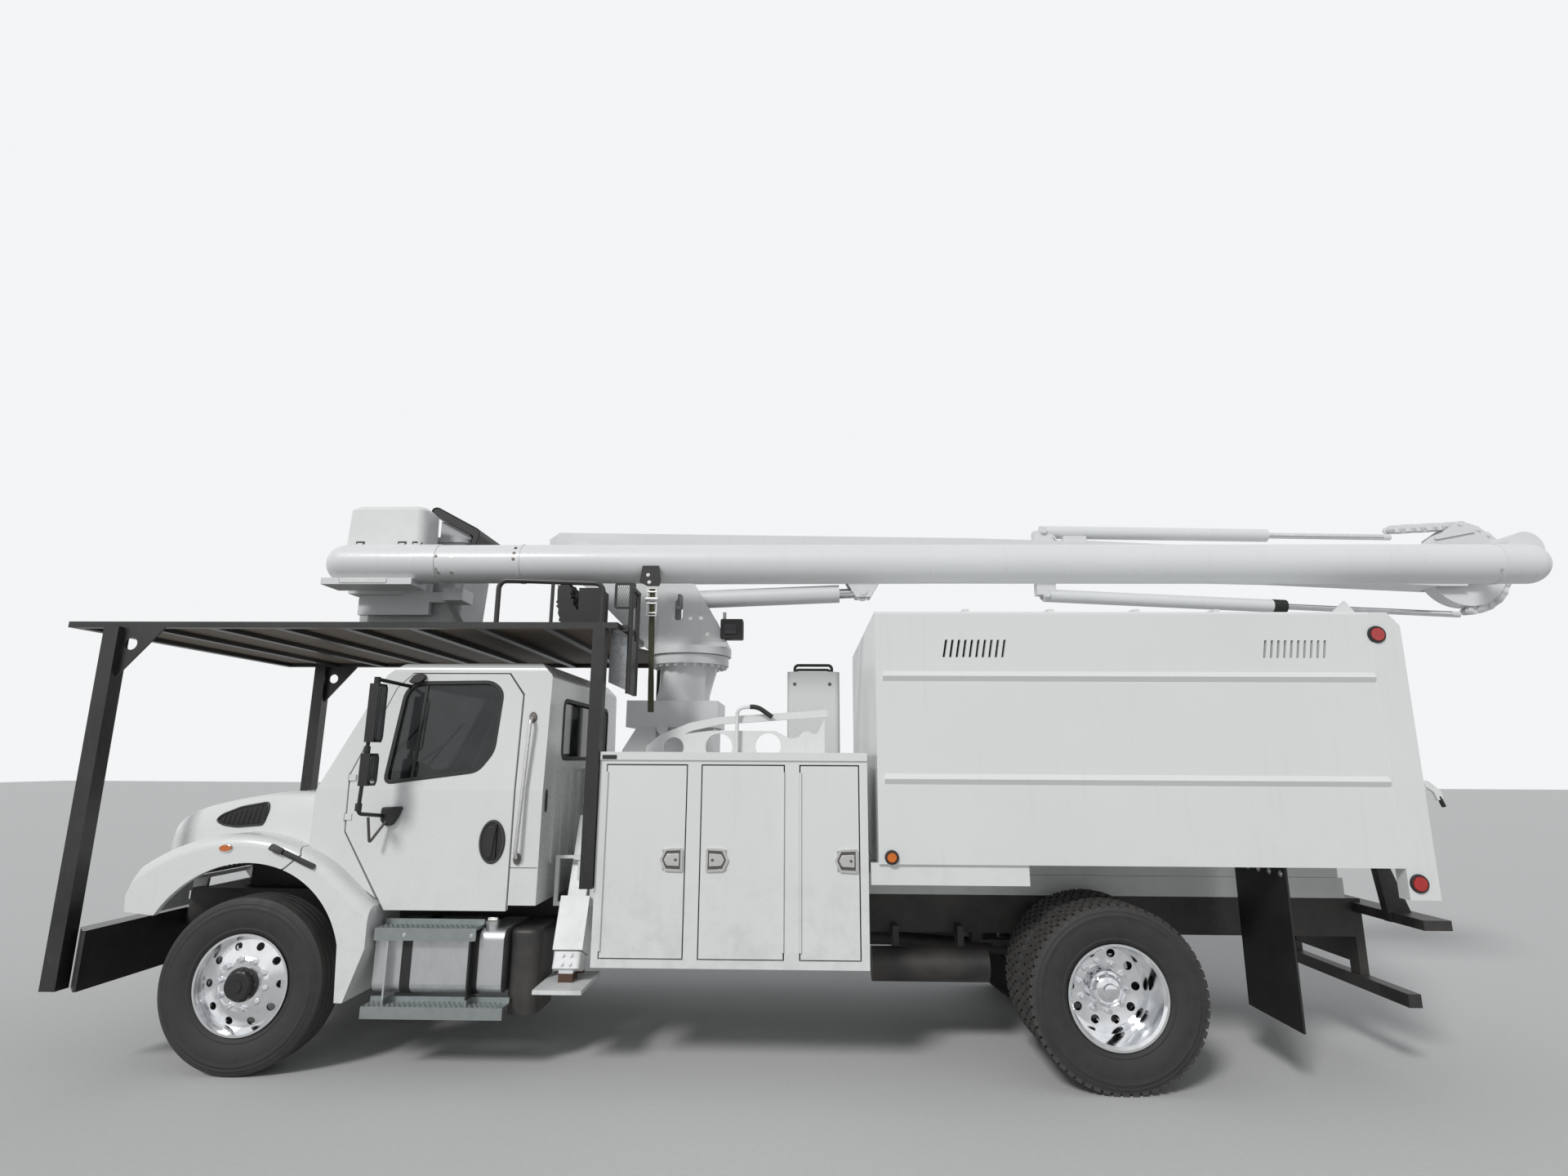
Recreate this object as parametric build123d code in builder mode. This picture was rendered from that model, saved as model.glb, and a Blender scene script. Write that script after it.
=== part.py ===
from build123d import *
from math import cos, hypot, radians, sin
import os

# Forestry bucket truck: cab chassis with hood guard, tool cabinets, chip box and an over-centre boom.
# Front of the truck towards -X, its left side towards -Y, ground at Z = 0. Lengths in millimetres.
# Stations along the truck are given from the front axle and shifted by front_axle_x.

os.makedirs("parts", exist_ok=True)

# Overall layout
front_axle_x = -3850
wheelbase = 5365
rear_axle_x = front_axle_x + wheelbase
body_half_width = 1220
side_gap = 8

# Wheels
rim_radius = 286
lip_radius = 299
front_tyre_radius = 520
rear_tyre_radius = 530
tyre_width = 280
front_tyre_y = 1015
rear_outer_tyre_y = 1098
dual_spacing = 343
hand_holes = 10

# Chassis frame
rail_outside = 430
rail_flange = 80
rail_web = 9
rail_bottom = 735
rail_top = 985
frame_front = front_axle_x - 900
frame_rear = front_axle_x + 7290

# Cab
cab_front = front_axle_x + 270
cab_rear = front_axle_x + 1780
cab_floor = 985
cab_roof = 2550
cab_half_low = 1030
cab_half_top = 965
cab_wall = 50
belt_height = 1700
door_gap_rear = 12
door_front = front_axle_x + 480
door_rear = front_axle_x + 1600

# Guard over the hood
deck_low = 2750
deck_top = 2790
deck_half = 1200
post_width = 100
deck_front = front_axle_x - 1450
deck_rear = front_axle_x + 2260
post_front_x = front_axle_x - 1110
post_rear_x = front_axle_x + 2150

# Tool cabinets
cabinet_front = front_axle_x + 2196
cabinet_rear = front_axle_x + 3891
cabinet_low = 665
cabinet_top = 1949
cabinet_depth = 600
cabinet_wall = 30
cabinet_door_low = 722
cabinet_door_top = 1865
cabinet_door_gap = 8

# Chip box
box_front = front_axle_x + 3955
box_rear = front_axle_x + 7250
box_low = 1277
box_top = 2863
box_wall = 40
gate_thickness = 60

# Boom
slew_x = front_axle_x + 2580
hinge_x = front_axle_x + 1700
hinge_z = 3500
elbow_x = front_axle_x + 8770
elbow_z = 3440
lower_boom_half = 125
tube_y = -600
tube_radius = 145
tube_z = 3330
tube_front = front_axle_x - 90
tube_rear = front_axle_x + 8900
tip_x = tube_front + tube_radius
cylinder_foot = (front_axle_x + 2450, 3170)
cylinder_eye = (front_axle_x + 3970, 3235)
pin_clearance = 0.05


def box_between(x_low, x_high, y_low, y_high, z_low, z_high, mode=Mode.ADD):
    """A box given by its lowest and highest corners."""
    with Locations(((x_low + x_high) / 2, (y_low + y_high) / 2, (z_low + z_high) / 2)):
        Box(x_high - x_low, y_high - y_low, z_high - z_low, mode=mode)


def side_slab(points, y_low, y_high, mode=Mode.ADD, rounding=0):
    """A plate with this outline seen from the side, from y_low to y_high, its corners rounded."""
    with BuildSketch(Plane.XZ.offset(-y_high)) as outline:
        with BuildLine():
            Polyline(*points, close=True)
        make_face()
        if rounding:
            fillet(outline.vertices(), rounding)
    extrude(outline.sketch, amount=y_high - y_low, mode=mode)


def bar(start, end, radius, mode=Mode.ADD):
    """A round bar between two points."""
    reach = Vector(*end) - Vector(*start)
    with BuildSketch(Plane(origin=start, z_dir=reach)) as section:
        Circle(radius)
    extrude(section.sketch, amount=reach.length, mode=mode)


def bent_tube(points, radius, bend):
    """A round tube that follows straight runs joined by arcs."""
    with BuildLine() as route:
        FilletPolyline(*points, radius=bend)
    with BuildSketch(Plane(origin=route.line @ 0, z_dir=route.line % 0)) as section:
        Circle(radius)
    sweep(section.sketch, path=route.line)


def cross_disc(x, z, radius, y_low, y_high, mode=Mode.ADD):
    """A round disc or pin across the truck."""
    with BuildSketch(Plane.XZ.offset(-y_high)) as section:
        with Locations((x, z)):
            Circle(radius)
    extrude(section.sketch, amount=y_high - y_low, mode=mode)


def wheel_plane(x, y, z):
    """The plane for a wheel's section: along the axle, then out along the radius."""
    return Plane(origin=(x, y, z), x_dir=(0, 1, 0), z_dir=(1, 0, 0))


def save(piece, name):
    """Labels a finished piece and writes it under its node's name."""
    piece.part.label = name
    export_step(piece.part, f"parts/{name}.step")


# The rounded side box behind the left fuel tank
side_box_low = 335
side_box_height = 503
with BuildPart() as side_box:
    with BuildSketch(Plane.XY.offset(side_box_low)):
        with Locations((front_axle_x + 1714, -810)):
            RectangleRounded(202, 380, 70)
    extrude(amount=side_box_height)
    fillet(side_box.faces().sort_by(Axis.Z)[-1].edges(), 30)
    box_between(front_axle_x + 1660, front_axle_x + 1760, -640, -rail_outside, 750, 820)

# Chassis rails with their cross members, two air tanks and the side box
cross_member_stations = (-800, 1850, 3100, 4500, 5900, 7230)
with BuildPart() as frame_rails:
    for side in (-1, 1):
        outer = side * rail_outside
        inner = side * (rail_outside - rail_flange)
        web_inner = side * (rail_outside - rail_web)
        y_web = sorted((outer, web_inner))
        y_flange = sorted((outer, inner))
        box_between(frame_front, frame_rear, *y_web, rail_bottom, rail_top)
        box_between(frame_front, frame_rear, *y_flange, rail_top - rail_web, rail_top)
        box_between(frame_front, frame_rear, *y_flange, rail_bottom, rail_bottom + rail_web)
    for station in cross_member_stations:
        x = front_axle_x + station
        reach = rail_outside - rail_web
        box_between(x - 45, x + 45, -reach, reach, rail_bottom + 110, rail_top - 40)
    for y in (-560, 560):
        bar((front_axle_x + 3950, y, 560), (front_axle_x + 4730, y, 560), 110)
        for station in (4120, 4560):
            x = front_axle_x + station
            y_hanger = sorted((y, y / abs(y) * (rail_outside - 5)))
            box_between(x - 20, x + 20, *y_hanger, 560, 800)
    add(side_box.part)
save(frame_rails, "frame_rails")

# Front bumper with bevelled ends
bumper_front = front_axle_x - 1060
bumper_rear = front_axle_x - 930
bumper_low = 500
bumper_top = 850
bumper_half = 1250
bevel = 110
with BuildPart() as bumper:
    with BuildSketch(Plane.XY.offset(bumper_low)):
        with BuildLine():
            Polyline(
                (bumper_front, -bumper_half + bevel),
                (bumper_front, bumper_half - bevel),
                (bumper_rear - 20, bumper_half),
                (bumper_rear, bumper_half),
                (bumper_rear, -bumper_half),
                (bumper_rear - 20, -bumper_half),
                close=True,
            )
        make_face()
    extrude(amount=bumper_top - bumper_low)
    for side in (-1, 1):
        y = side * (rail_outside - 60)
        box_between(bumper_rear, frame_front, y - 40, y + 40, 740, 850)
        cross_disc(bumper_front + 40, 620, 22, y - 200, y + 200, Mode.SUBTRACT)
save(bumper, "bumper")

# Guard: posts from the bumper and from the frame, a braced deck above hood and cab
deck_ribs = 8
post_low = bumper_low
rail_height = 3085
rail_radius = 17
hoop_front = front_axle_x + 1432
hoop_middle = front_axle_x + 1800
hoop_rear = front_axle_x + 2142
stand_x = front_axle_x + 2320
subframe_top = 1120
with BuildPart() as guard_frame:
    for side in (-1, 1):
        y_low, y_high = sorted((side * (deck_half - 50), side * (deck_half + 50)))
        post_x = post_front_x
        box_between(post_x - 50, post_x + 50, y_low, y_high, post_low, deck_low)
        gusset = [(post_x + 50, deck_low), (post_x + 330, deck_low), (post_x + 50, deck_low - 330)]
        y_plate = side * deck_half
        side_slab(gusset, y_plate - 6, y_plate + 6)
        with Locations(Plane.XZ.offset(-y_plate - 8)):
            with Locations((post_x + 115, deck_low - 110)):
                Cylinder(42, 40, mode=Mode.SUBTRACT)
        box_between(post_rear_x - 40, post_rear_x + 40, y_low, y_high, subframe_top, deck_low)
        y_foot = sorted((side * (rail_outside - 90), side * (deck_half + 50)))
        box_between(post_rear_x - 40, post_rear_x + 40, *y_foot, subframe_top, subframe_top + 80)
        y_edge = sorted((side * (deck_half - 60), side * deck_half))
        box_between(deck_front, deck_rear, *y_edge, deck_low, deck_top)
    for rib in range(deck_ribs + 1):
        x = deck_front + 30 + rib * (deck_rear - deck_front - 60) / deck_ribs
        box_between(x - 30, x + 30, -deck_half + 40, deck_half - 40, deck_low, deck_top)
    box_between(deck_front, deck_rear, -deck_half + 40, deck_half - 40, deck_top - 8, deck_top)
    for side in (-1, 1):
        y = side * (deck_half - 40)
        hoop = [
            (hoop_front, y, deck_top - 10),
            (hoop_front, y, rail_height),
            (hoop_rear, y, rail_height - 25),
            (hoop_rear, y, deck_top - 10),
        ]
        bent_tube(hoop, rail_radius, 60)
        bar((hoop_middle, y, deck_top - 10), (hoop_middle, y, rail_height - 10), 12)
    for y in (-1080, -860):
        bar((stand_x, y, 2330), (stand_x, y, 3050), rail_radius)
        box_between(deck_rear - 20, stand_x, y - 12, y + 12, deck_low, deck_top)
    bar((stand_x, -1097, 3050), (stand_x, -843, 3050), rail_radius)
    box_between(stand_x - 8, stand_x + 8, -1085, -855, 2330, 2700)
    cross_cut = Plane.XY.offset(deck_low - 50)
    with BuildSketch(cross_cut):
        with Locations((slew_x, 0)):
            Circle(430)
    extrude(amount=150, mode=Mode.SUBTRACT)
save(guard_frame, "guard_frame")

# Rubber-covered rest for the stowed boom
with BuildPart() as boom_rest:
    rest_x = front_axle_x + 1940
    box_between(rest_x - 80, rest_x + 80, -740, -500, deck_top, 3120)
    with BuildSketch(Plane.YZ.offset(rest_x - 200)):
        with Locations((tube_y, tube_z)):
            Circle(tube_radius + 12)
    extrude(amount=400, mode=Mode.SUBTRACT)
save(boom_rest, "boom_rest")

# Engine as one plain block between the rails
with BuildPart() as engine_block:
    box_between(front_axle_x - 560, front_axle_x + 230, -300, 300, 780, 1420)
    fillet(engine_block.edges().filter_by(Axis.X), 60)
save(engine_block, "engine_block")


# Cab shell: hollow, with the windscreen, rear window and both door openings cut
roof_front = front_axle_x + 690
cowl_top = 1700
windscreen_foot = front_axle_x + 275
windscreen_head = (roof_front - 50, cab_roof - 90)
door_bottom = 950
door_sill = cab_floor + cab_wall
door_top = 2475
door_depth = 46
roof_rounding = 70
cab_side = [
    (front_axle_x + 800, cab_floor),
    (cab_rear, cab_floor),
    (cab_rear, cab_roof - 90),
    (cab_rear - 90, cab_roof),
    (roof_front + 60, cab_roof - 10),
    windscreen_head,
    (windscreen_foot, cowl_top),
    (cab_front, cowl_top - 60),
    (cab_front, 1330),
]
cab_inside = [
    (front_axle_x + 820, cab_floor + cab_wall),
    (cab_rear - cab_wall, cab_floor + cab_wall),
    (cab_rear - cab_wall, cab_roof - 120),
    (cab_rear - 120, cab_roof - cab_wall),
    (roof_front + 80, cab_roof - cab_wall - 10),
    (roof_front + 20, cab_roof - 120),
    (windscreen_foot + 65, cowl_top + 20),
    (cab_front + cab_wall, cowl_top - 80),
    (cab_front + cab_wall, 1370),
]
door_opening = [
    (front_axle_x + 800, door_sill),
    (door_rear, door_sill),
    (door_rear, 2330),
    (door_rear - 110, door_top),
    (front_axle_x + 820, door_top),
    (front_axle_x + 715, 2370),
    (door_front, 1800),
    (door_front + 10, 1430),
]
sill_opening = [
    (front_axle_x + 792, door_bottom - 10),
    (door_rear, door_bottom - 10),
    (door_rear, 1500),
    (door_front + 10, 1500),
    (door_front + 10, 1430),
]


def cab_width(inset):
    """The cab's cross section: upright to the belt, leaning in above, with rounded roof edges."""
    low = cab_half_low - inset
    top = cab_half_top - inset
    with BuildSketch(Plane.YZ.offset(cab_front - 100)) as across:
        with BuildLine():
            Polyline(
                (-low, cab_floor - 100),
                (low, cab_floor - 100),
                (low, belt_height),
                (top, cab_roof - inset),
                (-top, cab_roof - inset),
                (-low, belt_height),
                close=True,
            )
        make_face()
        fillet(across.vertices().sort_by(Axis.Z)[-2:], roof_rounding - inset)
    extrude(across.sketch, amount=cab_rear - cab_front + 200, mode=Mode.INTERSECT)


def windscreen_cut(mode):
    """The windscreen's opening, cut straight back from the front."""
    with BuildSketch(Plane.YZ.offset(cab_front - 50)) as opening:
        with Locations((0, (glass_low + glass_top) / 2)):
            RectangleRounded(1780, glass_top - glass_low, 60)
    extrude(opening.sketch, amount=600, mode=mode)


with BuildPart() as cab_void:
    side_slab(cab_inside, -cab_half_low, cab_half_low)
    cab_width(cab_wall)

glass_low = 1790
glass_top = 2440
rear_window_height = 2110
rear_rib_count = 9
rear_rib_pitch = 190
with BuildPart() as cab_shell:
    side_slab(cab_side, -cab_half_low, cab_half_low)
    cab_width(0)
    roof_bends = cab_shell.edges().filter_by(Axis.Y).sort_by(Axis.Z)[-4:]
    fillet(roof_bends, 40)
    add(cab_void.part, mode=Mode.SUBTRACT)
    side_slab(door_opening, -1300, 1300, Mode.SUBTRACT)
    for side in (-1, 1):
        y_skirt = sorted((side * (cab_half_low - door_depth - 3), side * 1300))
        side_slab(sill_opening, *y_skirt, Mode.SUBTRACT)
    windscreen_cut(Mode.SUBTRACT)
    with BuildSketch(Plane.YZ.offset(cab_rear - 100)):
        with Locations((0, rear_window_height)):
            RectangleRounded(1300, 400, 60)
    extrude(amount=200, mode=Mode.SUBTRACT)
    with BuildSketch(Plane.YZ.offset(cab_rear - 5)):
        with Locations((0, 1520)):
            with GridLocations(rear_rib_pitch, 0, rear_rib_count, 1):
                SlotOverall(620, 70, rotation=90)
    extrude(amount=19)
save(cab_shell, "cab_shell")

# Windscreen, seated in its opening along the pillars' slope, and the rear window
with BuildPart() as cab_glass:
    windscreen_cut(Mode.ADD)
    pane = [
        (windscreen_foot + 20, cowl_top),
        (windscreen_foot + 28, cowl_top),
        (windscreen_head[0] + 28, windscreen_head[1]),
        (windscreen_head[0] + 20, windscreen_head[1]),
    ]
    side_slab(pane, -900, 900, Mode.INTERSECT)
    with BuildSketch(Plane.YZ.offset(cab_rear - 30)):
        with Locations((0, rear_window_height)):
            RectangleRounded(1300, 400, 60)
    extrude(amount=6)
save(cab_glass, "cab_glass")

# Dashboard with the steering column and wheel
steering_x = front_axle_x + 820
steering_y = -520
with BuildPart() as dashboard:
    dash = [
        (cab_front + 55, 1410),
        (cab_front + 330, 1410),
        (cab_front + 400, 1500),
        (cab_front + 330, 1640),
        (cab_front + 110, 1640),
        (cab_front + 55, 1560),
    ]
    side_slab(dash, -cab_half_low + cab_wall + 60, cab_half_low - cab_wall - 60)
    bar((front_axle_x + 600, steering_y, 1500), (steering_x, steering_y, 1690), 30)
    wheel_face = Plane(origin=(steering_x, steering_y, 1690), z_dir=(220, 0, 190))
    with BuildSketch(wheel_face):
        Circle(225)
        Circle(197, mode=Mode.SUBTRACT)
        Rectangle(400, 40)
        Circle(60)
    extrude(amount=25)
save(dashboard, "dashboard")

# Two seats on pedestals
seat_x = front_axle_x + 1250
with BuildPart() as seats:
    for y in (-520, 520):
        box_between(seat_x - 200, seat_x + 160, y - 170, y + 170, cab_floor + cab_wall, 1300)
        box_between(seat_x - 260, seat_x + 220, y - 250, y + 250, 1300, 1440)
        back = [
            (seat_x + 130, 1440),
            (seat_x + 250, 1440),
            (seat_x + 340, 2080),
            (seat_x + 240, 2080),
        ]
        side_slab(back, y - 240, y + 240)
        box_between(seat_x + 250, seat_x + 340, y - 130, y + 130, 2080, 2230)
save(seats, "seats")

# Hood and front fenders, one moulding that tilts forward about a pivot behind the bumper
hood_pivot = (front_axle_x - 900, 950)
hood_nose = -1040
hood_rear = front_axle_x + 262
hood_skin = 30
hood_low = 1010
hood_sections = (
    # station, half width, shoulder height, crown height
    (262, 1000, 1540, 1692),
    (-100, 905, 1500, 1688),
    (-500, 790, 1430, 1628),
    (-850, 655, 1330, 1535),
    (hood_nose, 500, 1240, 1400),
)
fender_inner = 720
fender_outer = 1150
fender_edge = 70
grille_half = 385
grille_low = 1045
grille_top = 1315


def hood_body(inset):
    """The bonnet: a loft through crowned cross sections, drawn in by an inset."""
    sections = []
    for station, half, shoulder, crown in hood_sections:
        reach = half - inset
        start = shoulder - inset / 2
        top = crown - inset
        bend = start + 0.72 * (top - start)
        place = front_axle_x + max(station, hood_nose + inset)
        with BuildSketch(Plane.YZ.offset(place)) as section:
            with BuildLine():
                Line((-reach, hood_low - inset), (reach, hood_low - inset))
                Line((reach, hood_low - inset), (reach, start))
                Spline(
                    (reach, start), (reach * 0.8, bend), (0, top), (-reach * 0.8, bend), (-reach, start),
                    tangents=((0, 1), (0, -1)),
                )
                Line((-reach, start), (-reach, hood_low - inset))
            make_face()
        sections.append(section.sketch)
    loft(sections)


def fender_form(side):
    """A whole front fender, from the headlamp over the wheel to the cab step, with its edge rounded."""
    y_low, y_high = sorted((side * fender_inner, side * fender_outer))
    with BuildPart() as fender:
        with BuildSketch(Plane.XZ.offset(-y_high)) as outline:
            with BuildLine():
                Line((front_axle_x - 600, 925), (front_axle_x - 790, 945))
                Line((front_axle_x - 790, 945), (front_axle_x - 800, 1040))
                Line((front_axle_x - 800, 1040), (front_axle_x - 735, 1225))
                ThreePointArc(
                    (front_axle_x - 735, 1225), (front_axle_x - 200, 1415), (front_axle_x + 600, 1130)
                )
                Line((front_axle_x + 600, 1130), (front_axle_x + 765, 985))
                Line((front_axle_x + 765, 985), (front_axle_x + 765, 740))
                Line((front_axle_x + 765, 740), (front_axle_x + 660, 430))
                Line((front_axle_x + 660, 430), (front_axle_x + 610, 430))
                Line((front_axle_x + 610, 430), (front_axle_x + 590, 760))
                ThreePointArc(
                    (front_axle_x + 590, 760), (front_axle_x - 20, 1245), (front_axle_x - 600, 925)
                )
            make_face()
        extrude(outline.sketch, amount=y_high - y_low)
        outside = side * fender_outer
        top_edge = fender.edges().filter_by(
            lambda edge: abs(edge.center().Y - outside) < 1 and edge.length > 1200
        ).sort_by(Axis.Z)[-1:]
        fillet(top_edge, fender_edge)
    return fender.part


def wheel_well(side):
    """Room for the steered wheel inside a fender."""
    y_low, y_high = sorted((side * 640, side * 1112))
    with BuildSketch(Plane.XZ.offset(-y_high)) as well:
        with BuildLine():
            Line((front_axle_x - 600, 900), (front_axle_x - 700, 960))
            Line((front_axle_x - 700, 960), (front_axle_x - 700, 1080))
            ThreePointArc(
                (front_axle_x - 700, 1080), (front_axle_x - 60, 1330), (front_axle_x + 560, 1080)
            )
            Line((front_axle_x + 560, 1080), (front_axle_x + 560, 400))
            Line((front_axle_x + 560, 400), (front_axle_x - 600, 900))
        make_face()
    extrude(well.sketch, amount=y_high - y_low, mode=Mode.SUBTRACT)


# Headlamps in the fenders' sloping front corners
headlamp_outline = [
    (front_axle_x - 800, 1040),
    (front_axle_x - 742, 1206),
    (front_axle_x - 700, 1190),
    (front_axle_x - 758, 1035),
]
with BuildPart() as headlamps:
    for side in (-1, 1):
        side_slab(headlamp_outline, *sorted((side * 745, side * 1065)), rounding=8)
save(headlamps, "headlamps")

with BuildPart() as hood_void:
    hood_body(hood_skin)

# The seam between the tilting fender and the part that stays on the cab runs down to the wheel arch
seam_gap = 10
hood_limit = [
    (hood_rear, 1900),
    (hood_rear, 1345),
    (front_axle_x + 285, 1295),
    (front_axle_x + 190, 1215),
    (front_axle_x - 60, 1100),
    (front_axle_x - 60, 300),
    (front_axle_x + 1000, 300),
    (front_axle_x + 1000, 1900),
]
with BuildPart() as hood:
    hood_body(0)
    for side in (-1, 1):
        add(fender_form(side))
    add(hood_void.part, mode=Mode.SUBTRACT)
    for side in (-1, 1):
        wheel_well(side)
    side_slab(hood_limit, -1300, 1300, Mode.SUBTRACT)
    box_between(front_axle_x - 1100, front_axle_x - 960, -grille_half - 5, grille_half + 5,
                grille_low - 5, grille_top + 5, Mode.SUBTRACT)
    add(headlamps.part, mode=Mode.SUBTRACT)
    for side in (-1, 1):
        y_lug = sorted((side * 300, side * 330))
        side_slab(
            [
                (hood_pivot[0] - 30, hood_pivot[1] - 30), (hood_pivot[0] + 30, hood_pivot[1] - 30),
                (hood_pivot[0] + 40, hood_low + 30), (hood_pivot[0] - 130, hood_low + 30),
            ],
            *y_lug,
        )
    cross_disc(*hood_pivot, 22, -330, 330)
save(hood, "hood")

# The fenders' rear parts, fixed to the cab's lower front
rear_region = [(x + seam_gap, z - seam_gap / 2) for x, z in hood_limit[1:4]]
rear_region += [
    (front_axle_x - 50, 1092),
    (front_axle_x - 50, 200),
    (front_axle_x + 1010, 200),
    (front_axle_x + 1010, 1340),
]
with BuildPart() as rear_fenders:
    for side in (-1, 1):
        add(fender_form(side))
    side_slab(rear_region, -1300, 1300, Mode.INTERSECT)
    for side in (-1, 1):
        wheel_well(side)
    side_slab(cab_side, -cab_half_low, cab_half_low, Mode.SUBTRACT)
save(rear_fenders, "rear_fenders")

# Radiator grille: a frame with upright bars in the nose's opening
grille_bars = 13
grille_depth = 20
with BuildPart() as grille:
    face_x = front_axle_x - 1030
    box_between(face_x, face_x + grille_depth, -grille_half, grille_half, grille_low, grille_top)
    box_between(face_x - 1, face_x + grille_depth + 1, -grille_half + 25, grille_half - 25,
                grille_low + 25, grille_top - 25, Mode.SUBTRACT)
    for bar_index in range(grille_bars):
        y = -grille_half + 40 + bar_index * (2 * grille_half - 80) / (grille_bars - 1)
        box_between(face_x, face_x + grille_depth, y - 6, y + 6, grille_low + 5, grille_top - 5)
save(grille, "grille")

# Cab doors with their mirrors: each is cut from the cab's own section
window_outline = [
    (front_axle_x + 722, 1742),
    (front_axle_x + 1330, 1822),
    (front_axle_x + 1425, 1950),
    (front_axle_x + 1450, 2345),
    (front_axle_x + 1375, 2412),
    (front_axle_x + 850, 2404),
    (front_axle_x + 785, 2340),
]
door_shape = [
    (front_axle_x + 803, door_bottom),
    (door_rear - door_gap_rear, door_bottom),
    (door_rear - door_gap_rear, 2326),
    (door_rear - 116, door_top - side_gap),
    (front_axle_x + 824, door_top - side_gap),
    (front_axle_x + 724, 2367),
    (door_front + 10, 1799),
    (door_front + 20, 1433),
]


def door_band(outside, depth):
    """The cab's side section between two skins, as one slab for both sides."""
    low = cab_half_low - outside
    top = cab_half_top - outside
    with BuildSketch(Plane.YZ.offset(cab_front)) as across:
        for side in (-1, 1):
            with BuildLine():
                Polyline(
                    (side * low, cab_floor - 50),
                    (side * low, belt_height),
                    (side * top, cab_roof + 60),
                    (side * (top - depth), cab_roof + 60),
                    (side * (low - depth), belt_height),
                    (side * (low - depth), cab_floor - 50),
                    close=True,
                )
            make_face()
    extrude(across.sketch, amount=cab_rear - cab_front, mode=Mode.INTERSECT)


for side, name in ((-1, "left"), (1, "right")):
    with BuildPart() as door:
        y_band = sorted((side * 900, side * 1200))
        side_slab(door_shape, *y_band)
        door_band(0, door_depth)
        side_slab(window_outline, *y_band, Mode.SUBTRACT, rounding=35)
        y_face = side * (cab_half_low - 10)
        y_out = side * 1290
        mirror_arm = [
            (front_axle_x + 815, side * 965, 2380),
            (front_axle_x + 740, y_out, 2400),
            (front_axle_x + 705, y_out, 1560),
            (front_axle_x + 760, y_face, 1530),
        ]
        bent_tube(mirror_arm, 12, 40)
        y_head = sorted((side * 1225, side * 1330))
        box_between(front_axle_x + 715, front_axle_x + 775, *y_head, 2000, 2370)
        box_between(front_axle_x + 705, front_axle_x + 765, *y_head, 1730, 1930)
        y_handle = sorted((side * 1015, side * 1048))
        box_between(front_axle_x + 1450, front_axle_x + 1500, *y_handle, 1270, 1490)
        y_barrel = side * (cab_half_low + 6)
        for z in (1500, 1750):
            bar((door_front, y_barrel, z), (door_front, y_barrel, z + 50), 5)
            y_strap = sorted((side * (cab_half_low + 1), y_barrel))
            box_between(door_front, door_front + 50, *y_strap, z + 5, z + 45)
            y_pad = sorted((side * (cab_half_low - 10), y_barrel))
            box_between(door_front + 22, door_front + 50, *y_pad, z + 5, z + 45)
    save(door, f"door_{name}")
    with BuildPart() as door_glass:
        side_slab(window_outline, *y_band, rounding=35)
        door_band(18, 6)
    save(door_glass, f"door_glass_{name}")

# Front axle beam on its leaf springs
spring_y = 390
front_axle_z = front_tyre_radius
kingpin_y = 830
kingpin_radius = 18
front_hub_bore = 40
rear_hub_bore = 45
with BuildPart() as front_axle:
    beam = [
        (-700, 40), (-560, -60), (560, -60), (700, 40),
        (700, -20), (560, -130), (-560, -130), (-700, -20),
    ]
    with BuildSketch(Plane.YZ.offset(front_axle_x - 50)):
        with BuildLine():
            Polyline(*[(y, front_axle_z + z) for y, z in beam], close=True)
        make_face()
    extrude(amount=100)
    for side in (-1, 1):
        y_arm = sorted((side * 690, side * (kingpin_y - 30)))
        box_between(front_axle_x - 40, front_axle_x + 40, *y_arm, front_axle_z - 40, front_axle_z + 40)
        bar(
            (front_axle_x, side * kingpin_y, front_axle_z - 50),
            (front_axle_x, side * kingpin_y, front_axle_z + 50),
            44,
        )
        bar(
            (front_axle_x, side * kingpin_y, front_axle_z - 120),
            (front_axle_x, side * kingpin_y, front_axle_z + 120),
            kingpin_radius,
        )
        y_leaf = (side * spring_y - 40, side * spring_y + 40)
        for leaf, reach in enumerate((640, 500, 360)):
            low = front_axle_z - 60 + 140 - leaf * 18
            box_between(front_axle_x - reach, front_axle_x + reach, *y_leaf, low, low + 18)
        box_between(front_axle_x - 60, front_axle_x + 60, *y_leaf, front_axle_z - 62, front_axle_z + 50)
        for end in (-1, 1):
            x = front_axle_x + end * 610
            box_between(x - 30, x + 30, *y_leaf, front_axle_z + 95, rail_bottom)
save(front_axle, "front_axle")

# Steering knuckles: a fork round the kingpin and a stub axle with its drum
for side, name in ((-1, "left"), (1, "right")):
    with BuildPart() as knuckle:
        pin_y = side * kingpin_y
        for z_low, z_high in ((-120, -56), (56, 120)):
            box_between(front_axle_x - 45, front_axle_x + 45, pin_y - 50, pin_y + 50,
                        front_axle_z + z_low, front_axle_z + z_high)
        y_plate = sorted((side * (kingpin_y + 50), side * (kingpin_y + 80)))
        box_between(front_axle_x - 60, front_axle_x + 60, *y_plate, front_axle_z - 120, front_axle_z + 120)
        y_stub = sorted((side * (kingpin_y + 70), side * 1100))
        cross_disc(front_axle_x, front_axle_z, front_hub_bore - pin_clearance, *y_stub)
        bar((front_axle_x, pin_y, front_axle_z - 140), (front_axle_x, pin_y, front_axle_z + 140),
            kingpin_radius + pin_clearance, Mode.SUBTRACT)
    save(knuckle, f"knuckle_{name}")


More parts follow.
